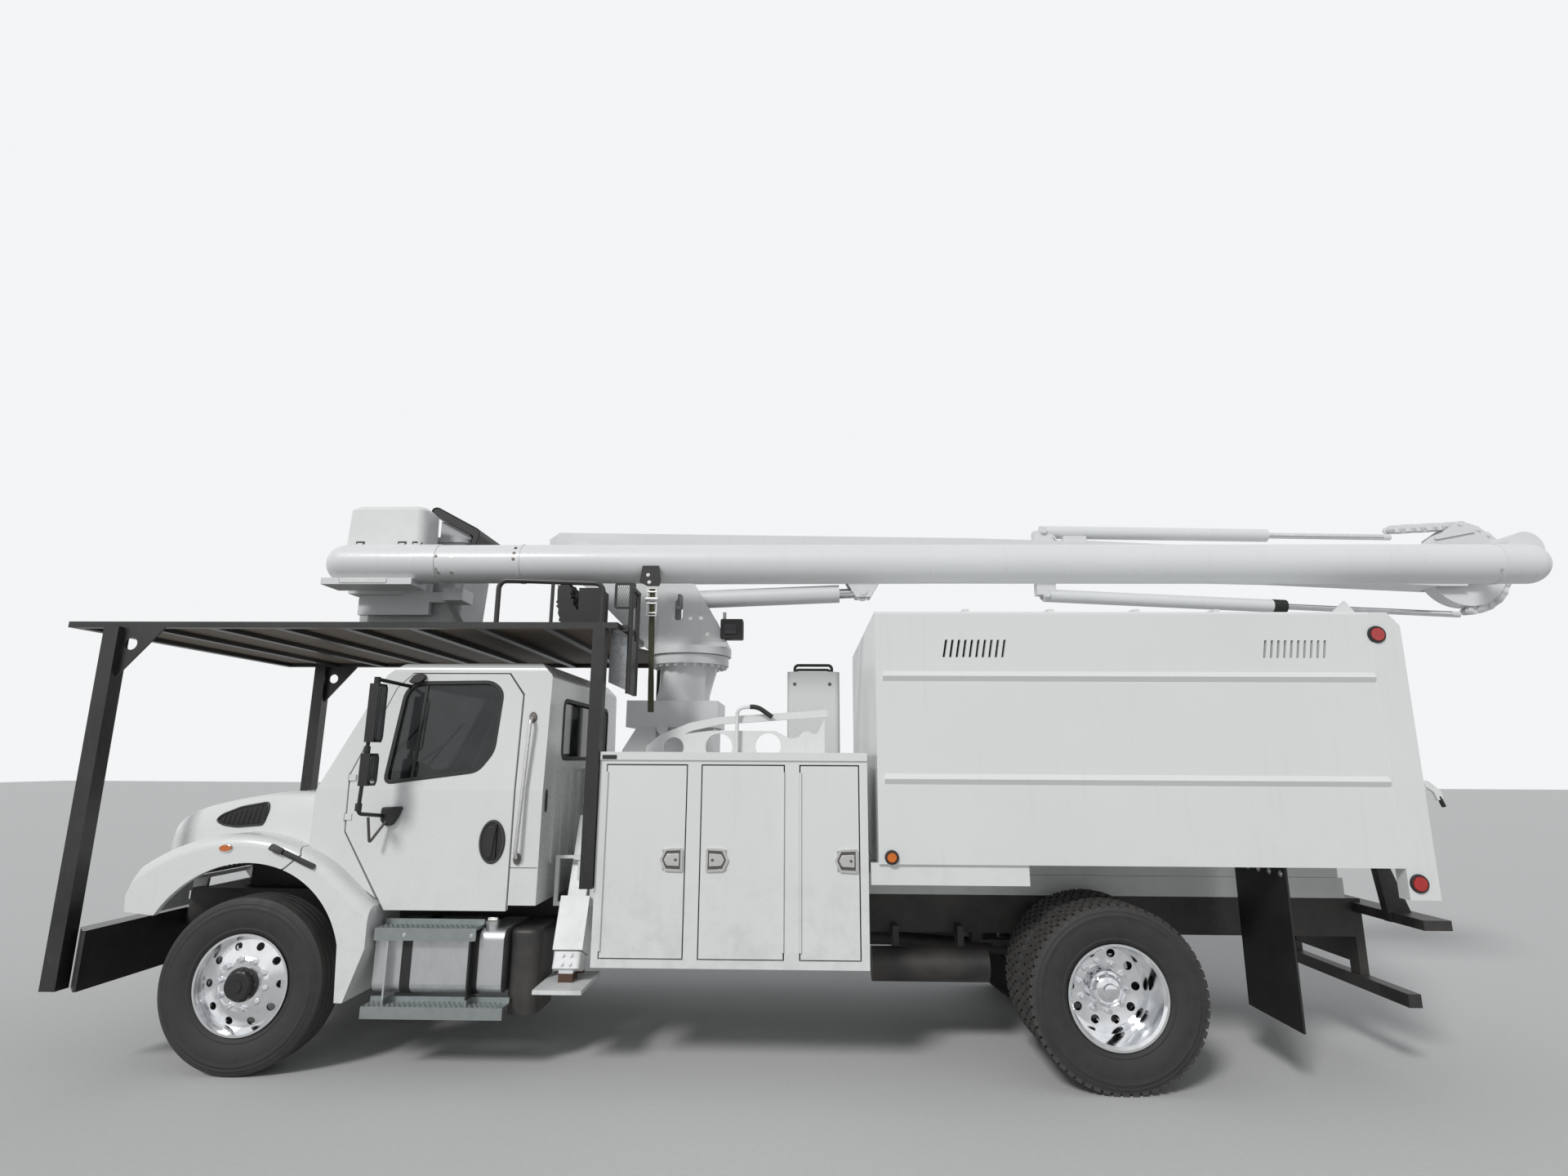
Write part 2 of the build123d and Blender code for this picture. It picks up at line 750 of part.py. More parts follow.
def tyre_section(x, y, z, radius, width):
    """A tyre's closed section: beads, bulging sidewalls and a nearly flat tread."""
    half = width / 2
    with BuildSketch(wheel_plane(x, y, z)) as section:
        with BuildLine():
            Line((-half + 45, rim_radius), (half - 45, rim_radius))
            Line((half - 45, rim_radius), (half - 30, lip_radius + 12))
            ThreePointArc(
                (half - 30, lip_radius + 12), (half, (lip_radius + radius) / 2), (half - 22, radius - 18)
            )
            Line((half - 22, radius - 18), (half - 45, radius))
            Line((half - 45, radius), (-half + 45, radius))
            Line((-half + 45, radius), (-half + 22, radius - 18))
            ThreePointArc(
                (-half + 22, radius - 18), (-half, (lip_radius + radius) / 2), (-half + 30, lip_radius + 12)
            )
            Line((-half + 30, lip_radius + 12), (-half + 45, rim_radius))
        make_face()
    revolve(section.sketch, axis=Axis((x, y, z), (0, 1, 0)))


def rim_section(x, y, z, points):
    """A rim's section of revolution: points are (distance out along the axle, radius)."""
    with BuildSketch(wheel_plane(x, y, z)) as section:
        with BuildLine():
            Polyline(*points, close=True)
        make_face()
    revolve(section.sketch, axis=Axis((x, y, z), (0, 1, 0)))


def hand_hole_ring(x, y, z, ring_radius, hole_radius):
    """Ten hand holes through a wheel's disc."""
    disc_plane = Plane(origin=(x, y + 100, z), x_dir=(1, 0, 0), z_dir=(0, -1, 0))
    with BuildSketch(disc_plane) as holes:
        with PolarLocations(ring_radius, hand_holes):
            Circle(hole_radius)
    extrude(holes.sketch, amount=200, mode=Mode.SUBTRACT)


wall = 9
for side, name in ((-1, "left"), (1, "right")):
    with BuildPart() as tyre_front:
        tyre_section(front_axle_x, side * front_tyre_y, front_tyre_radius, front_tyre_radius, tyre_width)
    save(tyre_front, f"tyre_front_{name}")
    with BuildPart() as rim_front:
        bulged = [
            (-100, rim_radius - 1), (100, rim_radius - 1), (112, lip_radius), (118, lip_radius),
            (118, lip_radius - 14), (100, rim_radius - wall), (60, rim_radius - 30), (75, 200), (85, 160),
            (95, 140), (95, 75), (120, 72), (120, 0), (105, 0), (105, front_hub_bore), (5, front_hub_bore),
            (5, 110),
            (70, 130), (62, 200), (44, rim_radius - 30), (-60, rim_radius - 30),
            (-100, rim_radius - wall), (-112, lip_radius - 14), (-118, lip_radius - 14),
            (-118, lip_radius), (-112, lip_radius),
        ]
        turned = [(side * reach, radius) for reach, radius in bulged]
        rim_section(front_axle_x, side * front_tyre_y, front_tyre_radius, turned)
        hand_hole_ring(front_axle_x, side * (front_tyre_y + 66), front_tyre_radius, 226, 24)
    save(rim_front, f"rim_front_{name}")

# Rear dual wheels: two tyres on back-to-back dished rims with one hub
for side, name in ((-1, "left"), (1, "right")):
    inner_y = rear_outer_tyre_y - dual_spacing
    with BuildPart() as tyres_rear:
        for y in (rear_outer_tyre_y, inner_y):
            tyre_section(rear_axle_x, side * y, rear_tyre_radius, rear_tyre_radius, tyre_width)
    save(tyres_rear, f"tyres_rear_{name}")
    with BuildPart() as rims_rear:
        disc_y = (rear_outer_tyre_y + inner_y) / 2
        dished = [
            (-60, rim_radius - 1), (100, rim_radius - 1), (112, lip_radius), (118, lip_radius),
            (118, lip_radius - 14), (100, rim_radius - wall - 6), (-80, rim_radius - 30),
            (-150, 240), (-158, 150), (-158, 70), (-30, 66), (-30, 0), (-45, 0), (-45, rear_hub_bore),
            (-171, rear_hub_bore), (-171, 240),
            (-160, 262), (-118, lip_radius - 14), (-118, lip_radius), (-112, lip_radius),
            (-100, rim_radius - 1),
        ]
        outer = [(side * reach, radius) for reach, radius in dished]
        rim_section(rear_axle_x, side * rear_outer_tyre_y, rear_tyre_radius, outer)
        inner_barrel = [
            (-60, rim_radius - 1), (100, rim_radius - 1), (112, lip_radius), (118, lip_radius),
            (118, lip_radius - 14), (100, rim_radius - wall - 6), (-80, rim_radius - 30),
            (-150, 240), (-150, 110), (-172, 110), (-172, 240), (-160, 262), (-118, lip_radius - 14),
            (-118, lip_radius), (-112, lip_radius), (-100, rim_radius - 1),
        ]
        turned = [(-side * reach, radius) for reach, radius in inner_barrel]
        rim_section(rear_axle_x, side * inner_y, rear_tyre_radius, turned)
        hand_hole_ring(rear_axle_x, side * disc_y, rear_tyre_radius, 202, 26)
    save(rims_rear, f"rims_rear_{name}")

# Rear axle: banjo housing, spindles, brake drums and leaf springs
with BuildPart() as rear_axle:
    z = rear_tyre_radius
    cross_disc(rear_axle_x, z, 60, -560, 560)
    cross_disc(rear_axle_x, z, rear_hub_bore - pin_clearance, -1040, 1040)
    with Locations((rear_axle_x, 0, z)):
        Sphere(200)
    bar((rear_axle_x - 330, 0, z + 20), (rear_axle_x, 0, z), 80)
    for side in (-1, 1):
        cross_disc(rear_axle_x, z, 200, *sorted((side * 545, side * 610)))
        y_leaf = (side * spring_y - 40, side * spring_y + 40)
        for leaf, reach in enumerate((700, 560, 420, 280)):
            low = z + 140 - leaf * 20
            box_between(rear_axle_x - reach, rear_axle_x + reach, *y_leaf, low, low + 20)
        box_between(rear_axle_x - 70, rear_axle_x + 70, *y_leaf, z - 70, z + 150)
        for end in (-1, 1):
            x = rear_axle_x + end * 670
            box_between(x - 35, x + 35, *y_leaf, z + 140, rail_bottom)
save(rear_axle, "rear_axle")

# Transmission and driveshaft
with BuildPart() as driveshaft:
    shaft_front = (front_axle_x + 1400, 0, 800)
    shaft_rear = (rear_axle_x - 345, 0, rear_tyre_radius + 22)
    bar(shaft_front, shaft_rear, 50)
    bar((front_axle_x + 1150, 0, 810), shaft_front, 90)
    box_between(front_axle_x + 310, front_axle_x + 1160, -190, 190, 700, 1000 - 80)
save(driveshaft, "driveshaft")


# Left fuel tank with straps and the two cab steps
tank_front = front_axle_x + 785
tank_rear = front_axle_x + 1600
tank_axis = (-790, 650)
strap_starts = (front_axle_x + 960, front_axle_x + 1385)
step_brackets = (front_axle_x + 880, front_axle_x + 1400)
steps_table = (
    # front, rear, outer edge, inner edge, tread height, lip's lower edge
    (front_axle_x + 800, front_axle_x + 1440, 1112, 960, 860, 785),
    (front_axle_x + 772, front_axle_x + 1650, 1140, 1010, 410, 340),
)


def cab_steps(side):
    """Two step boards on brackets, each a tread with a lip down in front and an upstand behind."""
    for start, end, outer, inner, tread, lip in steps_table:
        box_between(start, end, *sorted((side * outer, side * inner)), tread - 15, tread)
        box_between(start, end, *sorted((side * outer, side * (outer - 12))), lip, tread)
        box_between(start, end, *sorted((side * (inner + 12), side * inner)), tread - 5, tread + 30)
    for x in step_brackets:
        box_between(x, x + 12, *sorted((side * 1105, side * 960)), 395, 850)


with BuildPart() as fuel_tank:
    with BuildSketch(Plane.YZ.offset(tank_front)):
        with Locations(tank_axis):
            RectangleRounded(520, 380, 60)
    extrude(amount=tank_rear - tank_front)
    for x in strap_starts:
        with BuildSketch(Plane.YZ.offset(x)):
            with Locations(tank_axis):
                RectangleRounded(532, 392, 66)
        extrude(amount=60)
    cab_steps(-1)
    bar((tank_rear - 100, -990, 790), (tank_rear - 100, -990, 872), 40)
    box_between(tank_front + 100, tank_rear - 100, -560, -rail_outside, 760, 800)
save(fuel_tank, "fuel_tank")

# Right side: battery box carrying the same two steps
with BuildPart() as battery_box:
    box_between(tank_front, tank_rear, 540, 1040, 470, 840)
    fillet(battery_box.edges().filter_by(Axis.X), 25)
    cab_steps(1)
    box_between(tank_front + 100, tank_rear - 100, rail_outside, 560, 760, 800)
save(battery_box, "battery_box")

# Subframe on the rails, with the outriggers' cross box, casings and step frames
outrigger_x = front_axle_x + 1990
leg_lean = 22
leg_size = 122
leg_start = -180
leg_length = 990
casing_start = 370
casing_length = 330
subframe_front = front_axle_x + 1850
subframe_members = (2350, 2850, 4200, 5600, 7190)


def outrigger_frame(side):
    """The leg's own plane: it leans outwards on the way down."""
    down = Vector(0, side * sin(radians(leg_lean)), -cos(radians(leg_lean)))
    return Plane(origin=(outrigger_x, side * 640, 1330), x_dir=(1, 0, 0), z_dir=down)


with BuildPart() as subframe:
    for side in (-1, 1):
        y_rail = sorted((side * (rail_outside - 90), side * rail_outside))
        box_between(subframe_front, box_rear, *y_rail, rail_top, subframe_top)
    for station in subframe_members:
        x = front_axle_x + station
        box_between(x - 50, x + 50, -rail_outside + 50, rail_outside - 50, rail_top, subframe_top)
    box_between(outrigger_x - 95, outrigger_x + 95, -600, 600, subframe_top, 1260)
    for side in (-1, 1):
        y_drop = sorted((side * rail_outside, side * 500))
        box_between(outrigger_x - 60, outrigger_x + 60, *y_drop, 800, 1200)
        y_bracket = sorted((side * rail_outside, side * 740))
        box_between(outrigger_x - 60, outrigger_x + 60, *y_bracket, 800, 960)
        frame = outrigger_frame(side)
        with BuildSketch(frame.offset(casing_start)):
            Rectangle(190, 190)
        extrude(amount=casing_length)
        y_hoop = sorted((side * 785, side * 815))
        box_between(outrigger_x - 160, outrigger_x - 80, *y_hoop, 950, 975)
        box_between(outrigger_x - 160, outrigger_x - 135, *y_hoop, 950, 1270)
        box_between(outrigger_x - 160, outrigger_x + 110, *y_hoop, 1250, 1270)
        box_between(outrigger_x + 80, outrigger_x + 110, *y_hoop, 950, 1270)
        with BuildSketch(frame.offset(casing_start - 100)):
            Rectangle(134, 134)
        extrude(amount=casing_length + 200, mode=Mode.SUBTRACT)
save(subframe, "subframe")

# Outrigger legs, each with a bolted socket and a wide foot plate
foot_top = 525
for side, name in ((-1, "left"), (1, "right")):
    frame = outrigger_frame(side)
    with BuildPart() as leg:
        with BuildSketch(frame.offset(leg_start)):
            Rectangle(leg_size, leg_size)
        extrude(amount=leg_length)
        with BuildSketch(frame.offset(casing_start + casing_length + 8)):
            RectangleRounded(176, 168, 20)
        extrude(amount=100)
        foot = frame.from_local_coords((0, 0, leg_start + leg_length))
        box_between(foot.X - 45, foot.X + 45, foot.Y - 60, foot.Y + 60, foot_top - 5, foot.Z + 30)
        box_between(foot.X - 150, foot.X + 150, foot.Y - 240, foot.Y + 240, foot_top - 25, foot_top)
    save(leg, f"outrigger_leg_{name}")

# Tool cabinets, hollow, with a partition between the doors
cabinet_doors = (
    # start, end, hinge at its front edge
    (front_axle_x + 2246, front_axle_x + 2749, True),
    (front_axle_x + 2851, front_axle_x + 3364, False),
    (front_axle_x + 3471, front_axle_x + 3833, True),
)
partition_stations = (front_axle_x + 2800, front_axle_x + 3417)
cabinet_inner = body_half_width - cabinet_depth
rack_far = -cabinet_inner + 1
rack_near = -cabinet_inner + 40
rack_holes = (
    # station, height, radius
    (2569, 1987, 70),
    (2890, 1990, 95),
    (3239, 2000, 90),
)
rack_plate = [
    (front_axle_x + 2370, 1700), (front_axle_x + 3640, 1700), (front_axle_x + 3640, 2190),
    (front_axle_x + 3590, 2090), (front_axle_x + 3400, 2050), (front_axle_x + 3290, 2105),
    (front_axle_x + 2830, 2105), (front_axle_x + 2560, 2070), (front_axle_x + 2370, 1960),
]
rack_arm = [
    # lower edge, then back along the upper edge of the curved arm over the rack
    (front_axle_x + 2370, 1930), (front_axle_x + 2500, 2020), (front_axle_x + 2700, 2105),
    (front_axle_x + 2900, 2150), (front_axle_x + 3660, 2205), (front_axle_x + 3660, 2255),
    (front_axle_x + 2880, 2200), (front_axle_x + 2680, 2160), (front_axle_x + 2470, 2075),
    (front_axle_x + 2370, 1990),
]


def tool_rack():
    """A plate with three large holes behind the left cabinet, under a long curved arm."""
    side_slab(rack_plate, -cabinet_inner - 5, rack_near - 20)
    side_slab(rack_arm, -cabinet_inner - 5, rack_near)
    cross_disc(front_axle_x + 3513, 2045, 58, rack_far, rack_near + 15)
    for station, height, radius in rack_holes:
        cross_disc(front_axle_x + station, height, radius, -cabinet_inner - 10, rack_near, Mode.SUBTRACT)


for side, name in ((-1, "left"), (1, "right")):
    y_outer = side * body_half_width
    y_inner = side * cabinet_inner
    with BuildPart() as cabinet:
        box_between(cabinet_front, cabinet_rear, *sorted((y_inner, y_outer)), cabinet_low, cabinet_top)
        hollow_y = sorted((side * (cabinet_inner + cabinet_wall), side * (body_half_width - 60)))
        starts = (cabinet_front + cabinet_wall,) + tuple(x + 10 for x in partition_stations)
        ends = tuple(x - 10 for x in partition_stations) + (cabinet_rear - cabinet_wall,)
        for start, end in zip(starts, ends):
            box_between(start, end, *hollow_y, cabinet_low + cabinet_wall, cabinet_top - cabinet_wall,
                        Mode.SUBTRACT)
        gap = cabinet_door_gap
        y_opening = sorted((side * (body_half_width - 70), side * (body_half_width + 10)))
        for start, end, hinge_front in cabinet_doors:
            box_between(start - gap, end + gap, *y_opening, cabinet_door_low - gap, cabinet_door_top + gap,
                        Mode.SUBTRACT)
        bracket_y = sorted((side * rail_outside, side * (cabinet_inner + 5)))
        for x in (cabinet_front + 200, cabinet_rear - 200):
            box_between(x - 40, x + 40, *bracket_y, 790, 940)
        y_rail = sorted((side * (body_half_width - 5), side * (body_half_width + 12)))
        box_between(cabinet_front, cabinet_rear, *y_rail, cabinet_top - 50, cabinet_top)
        if side < 0:
            tool_rack()
    save(cabinet, f"cabinet_{name}")
    for number, (start, end, hinge_front) in enumerate(cabinet_doors, 1):
        with BuildPart() as cabinet_door:
            y_leaf = sorted((side * (body_half_width - 35), side * body_half_width))
            box_between(start, end, *y_leaf, cabinet_door_low, cabinet_door_top)
            latch_x = end - 75 if hinge_front else start + 100
            y_latch = sorted((side * body_half_width, side * (body_half_width + 8)))
            box_between(latch_x - 60, latch_x + 60, *y_latch, 1235, 1355)
            y_grip = sorted((side * body_half_width, side * (body_half_width + 16)))
            box_between(latch_x - 40, latch_x + 40, *y_grip, 1270, 1320)
            hinge_edge = start if hinge_front else end
            y_hinge = side * (body_half_width + 6)
            bar((hinge_edge, y_hinge, cabinet_door_low + 40), (hinge_edge, y_hinge, cabinet_door_top - 40), 7)
        save(cabinet_door, f"cabinet_door_{name}_{number}")

# Chip box: open inside, ribbed sides, louvres and a flat roof
louvre_starts = (front_axle_x + 4390, front_axle_x + 6440)
louvre_count = 10
louvre_pitch = 42
crease_heights = (1790, 2437)
rear_post = [
    (box_rear - 105, 1095), (box_rear + 80, 1095), (box_rear + 80, 2770), (box_rear + 5, box_top - 5),
    (box_rear - 105, box_top - 5),
]
roof_wedge = [
    (front_axle_x + 6965, box_top - 5), (front_axle_x + 7150, box_top - 5), (front_axle_x + 7080, 2955),
]
with BuildPart() as chip_box:
    box_between(box_front, box_rear, -body_half_width, body_half_width, box_low, box_top)
    fillet(chip_box.edges().filter_by(Axis.X).sort_by(Axis.Z)[-2:], 20)
    inner_half = body_half_width - box_wall
    box_between(box_front + box_wall, box_rear + 10, -inner_half, inner_half, box_low + 60,
                box_top - box_wall, Mode.SUBTRACT)
    for side in (-1, 1):
        for height in crease_heights:
            with BuildSketch(Plane.YZ.offset(box_front + 45)):
                with BuildLine():
                    Polyline(
                        (side * (body_half_width - 5), height + 40),
                        (side * (body_half_width + 22), height),
                        (side * (body_half_width - 5), height - 40),
                        close=True,
                    )
                make_face()
            extrude(amount=box_rear - box_front - 170)
        y_post = sorted((side * (body_half_width - 90), side * (body_half_width + 5)))
        side_slab(rear_post, *y_post)
        side_slab(roof_wedge, *sorted((side * 1085, side * 1110)))
        y_skirt = sorted((side * (body_half_width - 60), side * (body_half_width - 20)))
        box_between(box_front - 48, front_axle_x + 4880, *y_skirt, 1153, box_low + 5)
        for louvre_start in louvre_starts:
            for louvre in range(louvre_count):
                x = louvre_start + louvre * louvre_pitch
                slot = [(x, 2560), (x + 16, 2560), (x + 36, 2675), (x + 20, 2675)]
                y_slot = sorted((side * (body_half_width - 60), side * (body_half_width + 10)))
                side_slab(slot, *y_slot, Mode.SUBTRACT)
    for y in (-390, 390):
        box_between(box_front + 60, box_rear - 30, y - 40, y + 40, 1122, box_low + 5)
    for station in (4559, 5114, 5672, 6190):
        x = front_axle_x + station
        box_between(x - 20, x + 20, -body_half_width + 30, body_half_width - 30, box_top - 5, box_top + 20)
save(chip_box, "chip_box")

# Tailgate, hinged along its left-hand post
gate_front = box_rear + 2
gate_half = body_half_width - 98
with BuildPart() as tailgate:
    box_between(gate_front + 14, gate_front + 14 + gate_thickness, -gate_half, gate_half, 1300, 2780)
    for z in (1500, 2000, 2500):
        box_between(gate_front + 70, gate_front + 100, -gate_half + 30, gate_half - 30, z - 35, z + 35)
        bar((box_rear + 86, gate_half + 6, z - 35), (box_rear + 86, gate_half + 6, z + 35), 6)
        box_between(gate_front + 70, box_rear + 86, gate_half - 40, gate_half + 5, z - 30, z + 30)
save(tailgate, "tailgate")

# Marker lamps on body and posts
marker_lamps_table = (
    # station, height, radius
    (7174, 2713, 42),
    (7210, 1191, 42),
)
with BuildPart() as marker_lamps:
    for side in (-1, 1):
        y_lamp = sorted((side * (body_half_width + 5), side * (body_half_width + 20)))
        for station, height, radius in marker_lamps_table:
            cross_disc(front_axle_x + station, height, radius, *y_lamp)
        y_amber = sorted((side * body_half_width, side * (body_half_width + 12)))
        cross_disc(front_axle_x + 4035, 1318, 30, *y_amber)
save(marker_lamps, "marker_lamps")

# Mud flaps behind the rear wheels
with BuildPart() as mud_flaps:
    for side in (-1, 1):
        y_flap = sorted((side * 610, side * 1215))
        box_between(front_axle_x + 6425, front_axle_x + 6437, *y_flap, 344, 1277)
save(mud_flaps, "mud_flaps")

# Rear underride frame with its pintle plate
pintle_hole = 17.5
pintle_x_pitch = 89
pintle_z_pitch = 44.5
hitch_rear = front_axle_x + 7420
with BuildPart() as rear_hitch:
    for side in (-1, 1):
        y_post = sorted((side * 330, side * rail_outside))
        box_between(frame_rear, frame_rear + 60, *y_post, 480, rail_top)
        y_strut = sorted((side * 760, side * 820))
        side_slab(
            [
                (box_rear - 20, box_low), (box_rear + 60, box_low), (hitch_rear, 960), (hitch_rear, 900),
                (box_rear + 30, 900),
            ],
            *y_strut,
        )
    box_between(frame_rear, hitch_rear + 40, -1100, 1100, 900, 960)
    box_between(frame_rear - 20, frame_rear + 60, -900, 900, 410, 490)
    box_between(frame_rear + 10, frame_rear + 35, -330, 330, 560, 960)
    with BuildSketch(Plane.YZ.offset(frame_rear)):
        with Locations((0, 720)):
            with GridLocations(pintle_x_pitch, 2 * pintle_z_pitch, 2, 2):
                Circle(pintle_hole / 2)
    extrude(amount=80, mode=Mode.SUBTRACT)
save(rear_hitch, "rear_hitch")

# Pedestal: a flared column from the subframe to the slewing ring
pedestal_brace = [
    (slew_x - 310, 2200), (slew_x - 450, 1970), (slew_x - 450, 1640), (slew_x - 200, 1300),
    (slew_x - 200, 2200),
]
with BuildPart() as pedestal:
    box_between(slew_x - 300, slew_x + 300, -rail_outside + 20, rail_outside - 20, subframe_top, 1180)
    box_between(slew_x - 230, slew_x + 230, -260, 260, 1180, 2140)
    box_between(slew_x - 430, slew_x + 260, -300, 300, 2140, 2340)
    with BuildSketch(Plane.XY.offset(2340)) as neck_low:
        with Locations((slew_x - 45, 0)):
            Rectangle(370, 400)
    with BuildSketch(Plane.XY.offset(2630)) as neck_high:
        with Locations((slew_x, 0)):
            Circle(230)
    loft()
    with BuildSketch(Plane.XY.offset(2630)):
        with Locations((slew_x, 0)):
            Circle(310)
    extrude(amount=70)
    for side in (-1, 1):
        side_slab(pedestal_brace, *sorted((side * 230, side * 296)))
    cross_disc(slew_x - 150, 2130, 42, -330, -290)
save(pedestal, "pedestal")

# Hydraulic tank behind the pedestal, with its lifting frame
with BuildPart() as hydraulic_tank:
    tank_low = (front_axle_x + 3360, front_axle_x + 3780, 60, 560)
    box_between(*tank_low, 1180, 2600)
    fillet(hydraulic_tank.edges().filter_by(Axis.Z), 40)
    box_between(front_axle_x + 3330, front_axle_x + 3810, -rail_outside, 590, subframe_top, 1180)
    for y in (140, 480):
        bent_tube(
            [
                (front_axle_x + 3420, y, 2590), (front_axle_x + 3420, y, 2660),
                (front_axle_x + 3720, y, 2660), (front_axle_x + 3720, y, 2590),
            ],
            12, 30,
        )
save(hydraulic_tank, "hydraulic_tank")

# Turret: a turntable carrying two leaning cheeks for the boom and its cylinder, in a bolted skirt
turret_cheek = [
    (slew_x - 330, 2760),
    (slew_x + 300, 2760),
    (slew_x + 300, 2815),
    (slew_x + 185, 3035),
    (slew_x + 50, 3262),
    (hinge_x + 170, 3640),
    (hinge_x - 110, 3640),
    (hinge_x - 150, 3400),
    (hinge_x + 60, 3240),
]
turret_skirt = [
    (slew_x - 240, 2800),
    (slew_x + 306, 2800),
    (slew_x + 190, 3030),
    (slew_x - 225, 3030),
]
cheek_inner = 165
cheek_thick = 25
cheek_outer = cheek_inner + cheek_thick
with BuildPart() as turret:
    with BuildSketch(Plane.XY.offset(2705)):
        with Locations((slew_x, 0)):
            Circle(330)
    extrude(amount=60)
    box_between(slew_x - 240, slew_x + 310, -215, 215, 2765, 2802)
    for side in (-1, 1):
        side_slab(turret_cheek, *sorted((side * cheek_inner, side * cheek_outer)))
        side_slab(turret_skirt, *sorted((side * cheek_inner, side * (cheek_outer + 12))))
    with BuildSketch(Plane.XZ.offset(-250)):
        with Locations((slew_x - 75, 3080)):
            SlotOverall(215, 66, rotation=90)
    extrude(amount=500, mode=Mode.SUBTRACT)
    side_slab(
        [(hinge_x + 60, 3240), (slew_x - 330, 2760), (slew_x - 290, 2760), (hinge_x + 100, 3240)],
        -cheek_inner, cheek_inner,
    )
    cross_disc(hinge_x, hinge_z, 95, -cheek_inner - 45, -cheek_inner)
    cross_disc(hinge_x, hinge_z, 95, cheek_inner, cheek_inner + 45)
    cross_disc(hinge_x, hinge_z, 40, -cheek_inner - 60, cheek_inner + 60)
    cross_disc(*cylinder_foot, 30, -cheek_outer - 15, cheek_outer + 15)
    for side in (-1, 1):
        cross_disc(*cylinder_foot, 46, *sorted((side * cheek_inner, side * (cheek_outer + 10))))
save(turret, "turret")

elbow_shaft = 50
sprocket_radius = 318

# Lower boom: a deep steel root, a slimmer beam, and the elbow's fork
lower_boom_side = [
    (hinge_x - 250, 3420),
    (hinge_x - 100, 3330),
    (front_axle_x + 4870, 3340),
    (front_axle_x + 5200, 3370),
    (front_axle_x + 7270, 3330),
    (elbow_x - 250, 3270),
    (elbow_x - 60, 3270),
    (elbow_x - 60, 3610),
    (elbow_x - 250, 3610),
    (front_axle_x + 7270, 3580),
    (front_axle_x + 4870, 3660),
    (hinge_x - 200, 3710),
    (hinge_x - 280, 3650),
]
with BuildPart() as lower_boom:
    side_slab(lower_boom_side, -lower_boom_half, lower_boom_half)
    cross_disc(hinge_x, hinge_z, 90, -cheek_inner + 6, cheek_inner - 6)
    inside = [
        (hinge_x + 200, 3365), (front_axle_x + 4860, 3365), (front_axle_x + 5200, 3395),
        (front_axle_x + 7260, 3355), (elbow_x - 420, 3300), (elbow_x - 420, 3575),
        (front_axle_x + 7260, 3560), (front_axle_x + 4860, 3635), (hinge_x + 200, 3670),
    ]
    side_slab(inside, -lower_boom_half + 15, lower_boom_half - 15, Mode.SUBTRACT)
    cross_disc(hinge_x, hinge_z, 40 + pin_clearance, -300, 300, Mode.SUBTRACT)
    for side in (-1, 1):
        y_fork = sorted((side * (lower_boom_half - 25), side * lower_boom_half))
        cross_disc(elbow_x, elbow_z, 150, *y_fork)
        side_slab(
            [
                (elbow_x - 300, elbow_z - 150), (elbow_x, elbow_z - 150), (elbow_x, elbow_z + 150),
                (elbow_x - 300, elbow_z + 150),
            ],
            *y_fork,
        )
    fork_inner = lower_boom_half - 25
    cross_disc(elbow_x, elbow_z, sprocket_radius + 8, -fork_inner, fork_inner, Mode.SUBTRACT)
    cross_disc(elbow_x, elbow_z, elbow_shaft + pin_clearance, -300, 300, Mode.SUBTRACT)
    eye_lug = [
        (cylinder_eye[0] - 150, 3345), (cylinder_eye[0] - 60, 3190), (cylinder_eye[0] + 60, 3190),
        (cylinder_eye[0] + 150, 3345),
    ]
    for side in (-1, 1):
        side_slab(eye_lug, *sorted((side * 50, side * 75)))
        cross_disc(*cylinder_eye, 32, *sorted((side * 50, side * 82)))
save(lower_boom, "lower_boom")

# Elbow cylinders above and below the beam, each with its bracket and rod
elbow_cylinders_table = (
    # bracket station, barrel end station, bracket height, barrel end height, rod end station
    (5430, 7260, 3745, 3715, 8250),
    (5430, 7260, 3215, 3130, 8700),
)
cylinder_radius = 52
with BuildPart() as elbow_cylinders:
    for bracket, barrel_end, z_start, z_end, rod_end in elbow_cylinders_table:
        start = (front_axle_x + bracket, 0, z_start)
        end = (front_axle_x + barrel_end, 0, z_end)
        slope = (z_end - z_start) / (barrel_end - bracket)
        tip = (front_axle_x + rod_end, 0, z_end + slope * (rod_end - barrel_end))
        bar(start, end, cylinder_radius)
        bar(end, tip, 24)
        foot_z = sorted((z_start, 3500))
        box_between(start[0] - 60, start[0] + 90, -45, 45, *foot_z)
    add(lower_boom.part, mode=Mode.SUBTRACT)
    box_between(front_axle_x + 5300, front_axle_x + 5600, -110, 110, 3380, 3640, Mode.SUBTRACT)
save(elbow_cylinders, "elbow_cylinders")

